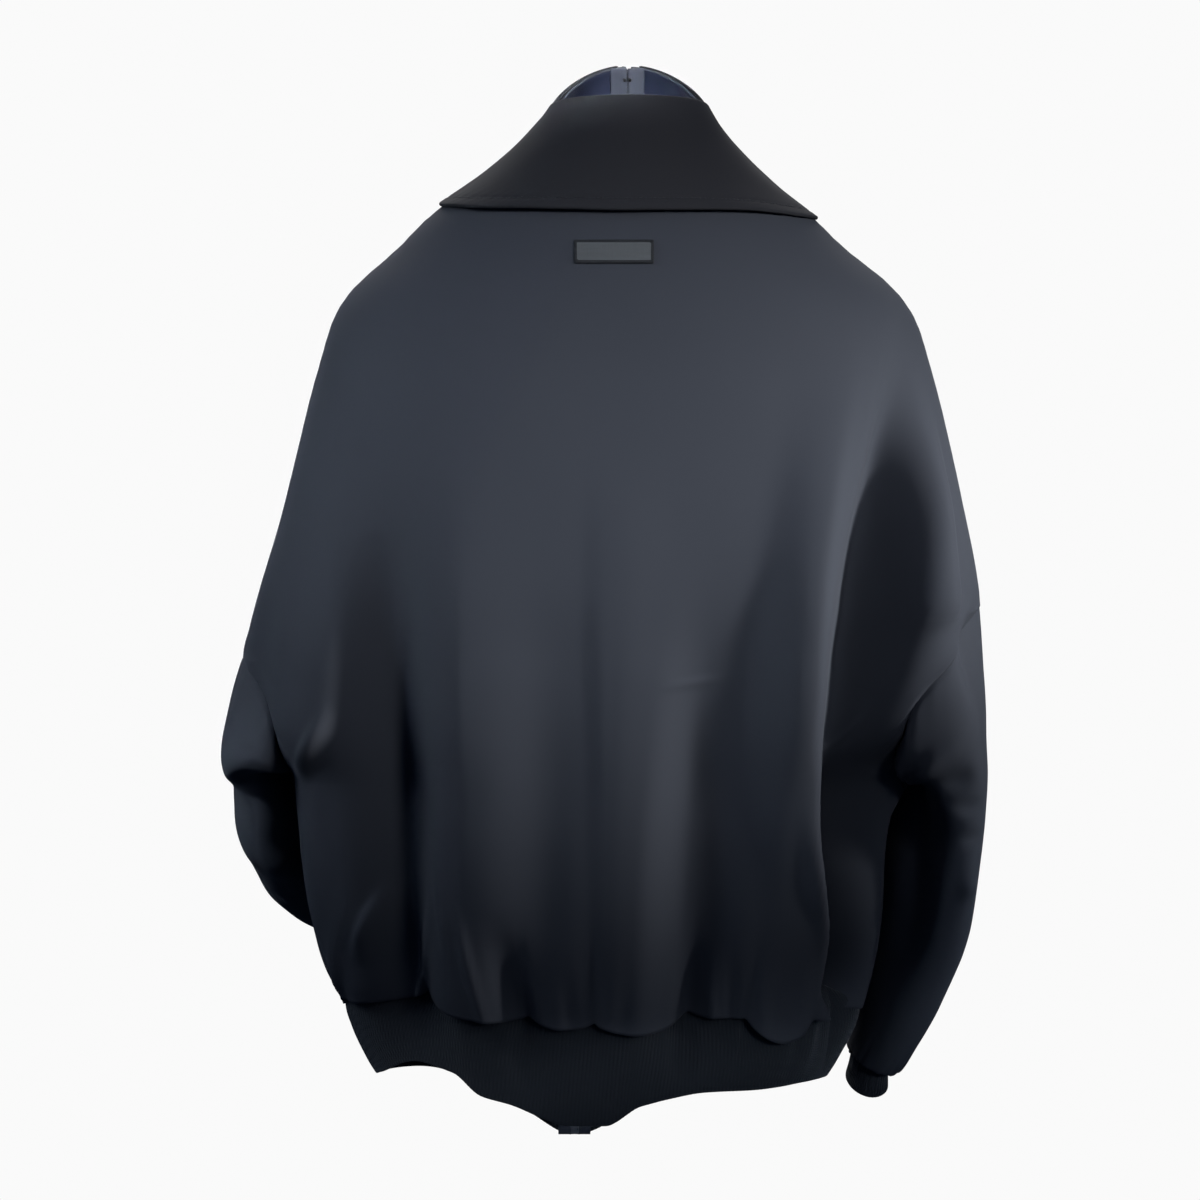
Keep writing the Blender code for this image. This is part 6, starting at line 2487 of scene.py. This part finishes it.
@dataclass
class Zip:
    """The zip: two tapes with their teeth, the slider and the pull tab.

    plate and pull are a width, a length and a thickness; bail is its bar's width, length, height
    and thickness; eye is the hole's width and length and the rim above it. A rounding is a
    corner's radius and how far the edges are rounded. Places through the cloth count forwards
    from the tapes' front face.
    """

    tape_half: float = 13
    tape_from: float = 0.4
    tape_wall: float = 0.9
    curve: float = 0.2
    tape_columns: int = 7
    tape_rows: int = 170
    calm_rows: int = 6
    calm_spread: float = 8
    tooth_pitch: float = 2.9
    tooth_half: float = 0.24
    tooth_proud: float = 1.8
    tooth_back: float = 0.9
    tooth_bevels: Pair = (0.25, 0.35)
    tooth_ends: Pair = (0.55, 0.6)
    tooth_ahead: float = 0.5
    tooth_in: float = 0.05
    tooth_slant: float = 0.3
    tooth_shape: tuple[Pair, ...] = (
        (-0.75, 0.75), (-0.3, 1.0), (0.9, 0.95), (1.6, 0.8), (3.0, 0.7))
    first_tooth: float = 1.2
    untoothed: float = 8
    plate: Triple = (10.0, 13.0, 1.6)
    plate_taper: float = 0.72
    plate_rounding: Pair = (2.0, 0.45)
    stem: Pair = (5.2, 11.0)
    stem_rounding: Pair = (0.8, 0.2)
    clear: float = 0.8
    overlap: float = 0.4
    bail: Quad = (2.4, 8.0, 3.6, 1.2)
    bail_rounding: Pair = (0.45, 0.35)
    foot_rounding: Pair = (0.35, 0.25)
    foot_below: float = 0.1
    pull: Triple = (8.0, 30.0, 1.6)
    pull_foot: float = 6.4
    pull_rounding: Pair = (1.6, 0.4)
    pull_narrower: float = 0.2
    pull_below_eye: float = 0.6
    panel: Quad = (3.4, 3.0, 2.2, 3.2)
    panel_corner: float = 1.0
    panel_rise: float = 0.12
    head: Pair = (3.0, 2.4)
    eye_corner: float = 0.6
    eye: Triple = (3.6, 3.2, 1.4)
    eye_clear: float = 0.45
    box_height: float = 14.0
    box: tuple[float, ...] = (7.0, 7.0, 0.0, 9.0, 1.2)
    box_wall: Triple = (-1.4, 2.4, 0.5)
    pin: tuple[float, ...] = (1.6, 1.6, 8.0, 15.0, 0.7)
    pin_wall: Triple = (-0.9, 1.8, 0.3)
    stop_reach: Pair = (0.6, 3.4)
    stop_heights: Pair = (7.8, 10.5)
    stop_wall: Triple = (-0.8, 1.9, 0.3)
    cut: Cut | None = None

    def round_off(self, side: Side, height: Array, out: Array) -> Array:
        """How far back the front's curve takes a place beside the zip.

        Args:
            side: which side of the zip.
            height: heights.
            out: how far from the zip's middle.

        Returns:
            The distance backwards.
        """
        reach, depth, _, _, boxiness = BODY.section(side, F, height)
        share = (1 - (out / reach) ** boxiness) ** (1 / boxiness)
        return depth * (1 - share) + self.curve * out / self.tape_half

    def tape_grid(self, side: Side) -> Array:
        """The outer face of a tape.

        Args:
            side: which tape.

        Returns:
            Its grid of points.
        """
        height = np.linspace(ZIP.top, ZIP.foot, self.tape_rows)
        x, y = ZIP.line(height)
        near = self.calm_rows
        wave = np.exp(-((np.arange(-near, near + 1)) ** 2) / self.calm_spread)
        y = np.convolve(np.pad(y, near, "edge"), wave / wave.sum(), "valid")
        out = np.linspace(self.tape_from, self.tape_half, self.tape_columns)[None, :]
        rows = height[:, None]
        back = self.round_off(side, rows, out)
        return np.stack([x[:, None] + side * out, y[:, None] + back, rows + 0 * out], -1)

    def teeth(self, side: Side, edge: Array) -> Object:
        """Makes a row of teeth.

        Args:
            side: which tape they are on.
            edge: points of the tape's inner edge.

        Returns:
            The new object.
        """
        along = lengths(edge[None], 1)[0]
        count = int((along[-1] - self.untoothed) // self.tooth_pitch)
        start = self.first_tooth + (0 if side == L else self.tooth_pitch / 2)
        at = start + np.arange(count) * self.tooth_pitch
        place, near = (on_line(where, along, edge) for where in (at, at + self.tooth_ahead))
        half = self.tooth_pitch * self.tooth_half
        outline = [(a, b * half) for a, b in self.tooth_shape]
        outline += [(a, -b) for a, b in outline[::-1]]
        back, proud = -self.tooth_back, self.tooth_proud
        (low, high), (first, last) = self.tooth_bevels, self.tooth_ends
        layers = ((back, first), (back + low, 1.0), (proud - high, 1.0), (proud, last))
        size = len(outline)
        faces = [list(range(size)), [(len(layers) - 1) * size + k for k in range(size)][::-1]]
        faces += [[a, d, c, b] for a, b, c, d in ring_faces(size, len(layers))]
        if side == R:
            faces = [face[::-1] for face in faces]
        row = Solids()
        narrow, slant = self.tooth_in, self.tooth_slant
        for centre, way in zip(place, unit(near - place)):
            forwards = unit(np.cross(way, np.array([1.0, 0.0, 0.0])))
            forwards = forwards * -np.sign(forwards[1])
            row.add(np.array([
                centre + np.array([side * (a + narrow + (1 - wide) * slant), 0, 0])
                + way * b * (0.5 + 0.5 * wide) + forwards * depth
                for depth, wide in layers for a, b in outline]), faces)
        return make_object(f"zip_teeth_{side.word}", np.concatenate(row.points), row.faces,
                           [TEETH.material()], smooth=False)

    def tape(self, side: Side) -> list[Piece]:
        """Makes a tape and its row of teeth.

        Args:
            side: which tape.

        Returns:
            The tape and the teeth.
        """
        points = self.tape_grid(side)
        outward = directions(points, False, np.array([0.0, -1.0, 0.0]))
        tape = Cloth(f"zip_tape_{side.word}", points, outward, self.tape_wall)
        # The tape's light colour is partly painted highlight.
        made, chain = tape.build(TAPE.material()), self.teeth(side, points[:, 0])
        return [Piece(made, Slot.TAPE, (f"zip_{side.word}",), cut=self.cut, extras=(chain,)),
                Piece(chain, Slot.TAPE)]

    def ends(self) -> list[Piece]:
        """Makes the stops at the top, and the pin in its box at the foot.

        Returns:
            The stops, and the box with the pin.
        """
        stops, foot = Solids(), Solids()
        low, high = self.stop_heights
        for side in Side:
            near, far = (side * reach for reach in self.stop_reach)
            stops.slab([(near, high), (far, high), (far, low), (near, low)], *self.stop_wall)
        foot.plate(self.box, *self.box_wall)
        foot.plate(self.pin, *self.pin_wall)
        return [Piece(stops.metal("zip_stops", ZIP.frame()), Slot.METAL),
                Piece(foot.metal("zip_box_and_pin", ZIP.foot_frame(self.box_height)), Slot.METAL)]

    def slider(self) -> list[Piece]:
        """Makes the slider and, on the moving body, the pull tab.

        Returns:
            The slider and the pull tab.
        """
        width, length, plate = self.plate
        stem, stem_length = self.stem
        bar_width, bar_length, rise, bar = self.bail
        half = bar_length / 2
        face = ZIP.behind + ZIP.knit_wall + self.clear
        front = face + plate
        low, top = front - self.overlap, front + rise
        body = Solids()
        corner, edge = self.plate_rounding
        body.plate((width, width * self.plate_taper, -length / 2, length / 2, corner), face, front,
                   edge, 3)
        corner, edge = self.stem_rounding
        body.plate((stem, stem, -stem_length / 2, stem_length / 2, corner),
                   self.tooth_proud + self.clear, low, edge)
        corner, edge = self.foot_rounding
        for foot, head in ((half - bar, half), (-half, bar - half)):
            body.plate((bar_width, bar_width, foot, head, corner, 3), low, top - self.foot_below,
                       edge)
        corner, edge = self.bail_rounding
        body.plate((bar_width, bar_width, -half, half, corner, 4), top - bar, top, edge, 3)
        return [Piece(body.metal("zip_slider_body", ZIP.frame()), Slot.METAL, ("zip_slider",)),
                self.pull_tab(front + (rise - bar) / 2, bar - half + self.eye_clear)]

    def pull_tab(self, middle: float, eye_top: float) -> Piece:
        """Makes the pull tab, with its eye round the bail.

        Args:
            middle: how far forwards the middle of its thickness lies.
            eye_top: the top of the eye's hole, upwards from the slider's middle.

        Returns:
            The piece.
        """
        wide, long, thick = self.pull
        near, far = middle - thick / 2, middle + thick / 2
        eye_width, eye_length, rim = self.eye
        eye_foot = eye_top - eye_length
        end = eye_foot - long
        head, head_corner = self.head
        corner, edge = self.pull_rounding
        tab = Solids()
        tab.framed(
            rounded_outline(wide, wide, eye_foot - head, eye_top + rim, head_corner, 8),
            rounded_outline(eye_width, eye_width, eye_foot, eye_top, self.eye_corner, 8),
            near, far)
        tab.plate((wide - self.pull_narrower, self.pull_foot, end,
                   eye_foot - self.pull_below_eye, corner), near, far, edge, 3)
        in_top, in_foot, up, down = self.panel
        rise = self.panel_rise
        tab.plate((wide - in_top, self.pull_foot - in_foot, end + up, eye_foot - down,
                   self.panel_corner), near - rise, far + rise, rise)
        return Piece(tab.metal("zip_pull_tab", ZIP.frame()), Slot.METAL, ("zip_pull",), body="pull")

    def build(self) -> list[Piece]:
        """Makes the whole zip."""
        return self.tape(L) + self.tape(R) + self.ends() + self.slider()


@dataclass
class Patch:
    """The plain woven patch on the upper back."""

    middle: float = -1
    height: float = -79
    width: float = 58
    length: float = 16.5
    off: float = 0.35
    thickness: float = 1.3
    columns: int = 76
    rows: int = 30
    border: float = 1.7
    border_rise: float = 0.22
    border_width: float = 0.7
    waves: Waves = ((0.12, 14, 51),)
    bands: int = 3
    band_rise: float = 0.25
    stitch: Triple = (1.5, 0.35, 0.2)
    stitch_up: float = 0.12
    cut: Cut | None = None

    def surface(self) -> tuple[Array, Array]:
        """Where the patch lies on the back.

        Returns:
            A grid of points on the back, and the directions outwards.
        """
        x = self.middle + self.width * np.linspace(0.5, -0.5, self.columns)[None, :]
        height = self.height + self.length * np.linspace(0.5, -0.5, self.rows)[:, None]
        x, height = np.broadcast_arrays(x, height)
        middle = BODY.section(L, B, height)[2]
        reach, depth, _, line, boxiness = BODY.section(np.where(x > middle, L, R), B, height)
        y = line + depth * (1 - (np.abs(x - middle) / reach) ** boxiness) ** (1 / boxiness)
        points = np.stack([x, y, height], -1)
        return points, directions(points, False, np.array([0.0, 1.0, 0.0]))

    def stitches(self, points: Array, outward: Array) -> Object:
        """Makes the line of stitches that holds the patch, one column in from its edge.

        Args:
            points: the patch's grid.
            outward: directions outwards.

        Returns:
            The stitches.
        """
        path, out = (np.concatenate([grid[1, 1:-1], grid[1:-1, -2], grid[-2, 1:-1][::-1],
                                     grid[1:-1, 1][::-1]]) for grid in (points, outward))
        return stitch_line("patch_stitches", path + out * self.stitch_up, out, THREAD.material(),
                           *self.stitch)

    def build(self) -> list[Piece]:
        """Makes the patch with its dark border and the stitches that hold it.

        Returns:
            The patch and its stitches.
        """
        surface, outward = self.surface()
        across, up = surface[..., 0] - self.middle, surface[..., 2] - self.height
        edge = np.minimum(self.width / 2 - np.abs(across), self.length / 2 - np.abs(up))
        rise = self.border_rise * groove(edge - self.border / 2, self.border_width) + (
            uneven(surface, self.waves))
        rise = rise + self.band_rise * np.cos(2 * math.pi * self.bands * up / self.length)
        points = surface + outward * (self.off + self.thickness + rise)[..., None]
        made = Cloth("woven_patch", points, outward, self.thickness).build(
            PATCH.material(), PATCH_EDGE.material())
        dark = np.ones(len(made.data.polygons), np.int32)
        near = (edge[:-1, :-1] + edge[1:, 1:]).ravel() / 2 < self.border
        dark[:len(near)] = near
        made.data.polygons.foreach_set("material_index", dark)
        line = self.stitches(points, outward)
        return [Piece(made, Slot.PATCH, ("back_patch",), cut=self.cut, held="laid",
                      rests_on=("back_panel",), extras=(line,)),
                Piece(line, Slot.PATCH)]


# ---------------------------------------------------------------- studio


@dataclass(frozen=True)
class Lamp:
    """A soft area light that looks at a point. Places and sizes are in metres."""

    name: str
    place: Triple
    aim: Triple
    size: Pair
    power: float
    colour: Triple = (1.0, 1.0, 1.0)
    spread: float = 180.0

    def build(self) -> None:
        """Makes the light."""
        data = bpy.data.lights.new(self.name, "AREA")
        data.shape, data.energy, data.color = "RECTANGLE", self.power, self.colour
        data.spread = math.radians(self.spread)
        data.size, data.size_y = self.size
        obj = bpy.data.objects.new(self.name, data)
        way = Vector(self.aim) - Vector(self.place)
        obj.location, obj.rotation_euler = self.place, way.to_track_quat("-Z", "Y").to_euler()
        bpy.context.scene.collection.objects.link(obj)


SKY = (0.80, 0.90, 1.0)
LAMPS = lines_of(
    Lamp,
    ("key_right", (-3.7, 1.0, 0.75), (-0.05, 0.1, -0.335), (0.5, 0.2), 0.97,
     (0.97, 0.99, 1.0), 9.2),
    ("soft_back", (-1.1, 1.9, 0.5), (0.02, 0.1, -0.14), (0.5, 0.3), 0.72, (0.95, 0.97, 1.0), 25),
    ("soft_left", (2.2, 1.0, 0.6), (0.10, 0.1, -0.27), (0.5, 0.3), 0.34, SKY, 13.5),
    ("rim_left", (2.3, 0.4, 0.8), (0.1, 0.0, -0.3), (0.5, 1.2), 14, SKY),
    ("arm_right", (-2.2, 2.0, 0.0), (-0.30, 0.04, -0.59), (0.06, 0.20), 0.028, SKY, 3),
    ("hem_back", (-1.0, 2.6, 0.1), (0.0, 0.12, -0.705), (0.5, 0.06), 0.034, (0.85, 0.93, 1.0), 3),
    ("arm_left", (1.3, 2.1, 1.1), (0.25, -0.05, -0.575), (0.10, 0.10), 0.022, SKY, 3),
    ("neck_glint", (0.25, 1.1, 1.35), (-0.012, -0.05, -0.01), (0.06, 0.06), 0.16,
     (0.9, 0.95, 1.0), 4),
    ("front_above", (0.2, -2.4, 2.0), (0.0, 0.0, -0.3), (2.2, 1.6), 62, (1.0, 0.98, 0.96)),
)


@dataclass(frozen=True)
class Studio:
    """Pale floor, soft light and the camera. Sizes are in metres."""

    target: Triple = (0.0094, 0.0, -0.351)
    distance: float = 3.0
    azimuth: float = 180.0
    elevation: float = 6.0
    half_width: float = 0.468
    sensor: float = 36.0
    floor_height: float = -1.30
    floor_size: float = 40.0
    pale: Triple = (0.955, 0.955, 0.955)
    fill: Pair = (0.02, 0.09)
    fill_colour: Triple = (0.30, 0.50, 1.0)

    def build(self) -> None:
        """Makes the whole studio."""
        self.make_world()
        self.make_floor()
        self.make_camera()
        for lamp in LAMPS:
            lamp.build()
        bpy.context.scene.view_settings.view_transform = "Standard"

    def make_world(self) -> None:
        """A pale backdrop for the camera, and a dimmer light all round for the object."""
        world = bpy.data.worlds.new("studio")
        bpy.context.scene.world = world
        world.use_nodes = True
        world.node_tree.nodes.clear()
        tree = Tree(world.node_tree)
        way = tree.add("SeparateXYZ", {0: tree.add("TexCoord").outputs["Generated"]}).outputs[2]
        above = tree.math("MULTIPLY_ADD", way, 0.5, 0.5)
        light = tree.add("Background", {
            "Color": (*self.fill_colour, 1), "Strength": tree.spread(above, *self.fill)})
        seen = tree.add("Background", {"Color": (*self.pale, 1)})
        camera = tree.add("LightPath").outputs["Is Camera Ray"]
        mix = tree.add("MixShader", {0: camera, 1: light.outputs[0], 2: seen.outputs[0]})
        tree.add("OutputWorld", {0: mix.outputs[0]})

    def make_floor(self) -> None:
        """A pale floor well below the hem."""
        half = self.floor_size / 2
        corners = [(x, y, self.floor_height)
                   for x, y in ((-half, -half), (half, -half), (half, half), (-half, half))]
        made = bpy.data.materials.new("pale_floor")
        made.use_nodes = True
        made.node_tree.nodes.clear()
        tree = Tree(made.node_tree)
        glow = tree.add("Emission", {"Color": (*self.pale, 1)})
        tree.add("OutputMaterial", {0: glow.outputs[0]})
        floor = make_object("studio_floor", np.array(corners) / MM, [[0, 1, 2, 3]], [made],
                            smooth=False)
        floor.visible_diffuse = floor.visible_glossy = floor.visible_shadow = False

    def make_camera(self) -> None:
        """The camera behind the wearer, a little above the middle."""
        data = bpy.data.cameras.new("camera")
        data.sensor_width = self.sensor
        data.lens = self.sensor * self.distance / (2 * self.half_width)
        camera = bpy.data.objects.new("camera", data)
        turn, rise = math.radians(self.azimuth), math.radians(self.elevation)
        level = math.cos(rise)
        away = Vector((-math.sin(turn) * level, -math.cos(turn) * level, math.sin(rise)))
        camera.location = Vector(self.target) + away * self.distance
        camera.rotation_euler = (-away).to_track_quat("-Z", "Y").to_euler()
        bpy.context.scene.collection.objects.link(camera)
        bpy.context.scene.camera = camera


CUTS = {
    "back": Cut(0.66, 0.74, 0.42),
    "front": Cut(0.34, 0.76, 0.21),
    "sleeve_left": Cut(0.45, 0.27, 0.086),
    "sleeve_right": Cut(0.47, 0.31, 0.098),
    "cuff_left": Cut(0.20, 0.056),
    "cuff_right": Cut(0.18, 0.037),
    "band": Cut(1.08, 0.07),
    "neckband": Cut(0.40, 0.06),
    "fall": Cut(0.60, 0.095),
    "tape": Cut(0.0135, 0.88),
    "patch": Cut(0.058, 0.0165),
}


def build_jacket() -> list[Piece]:
    """Makes the jacket.

    Returns:
        Every piece of it.
    """
    pieces = Shell(cuts=CUTS).build()
    for side in Side:
        sleeve = LowerSleeve(side, cut=CUTS[f"sleeve_{side.word}"])
        pieces += sleeve.build()
        pieces += Cuff(side, cut=CUTS[f"cuff_{side.word}"]).build(sleeve.cuff_seam)
    pieces += HemBand(cut=CUTS["band"]).build()
    pieces += Collar(band_cut=CUTS["neckband"], fall_cut=CUTS["fall"]).build()
    pieces += Zip(cut=CUTS["tape"]).build()
    pieces += Patch(cut=CUTS["patch"]).build()
    return pieces


def main() -> None:
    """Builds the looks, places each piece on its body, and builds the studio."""
    logging.basicConfig(level=logging.INFO, format="%(name)s: %(message)s")
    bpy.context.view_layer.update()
    for piece in build_jacket():
        piece.place()
    Studio().build()


if __name__ == "__main__":
    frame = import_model()
    main()
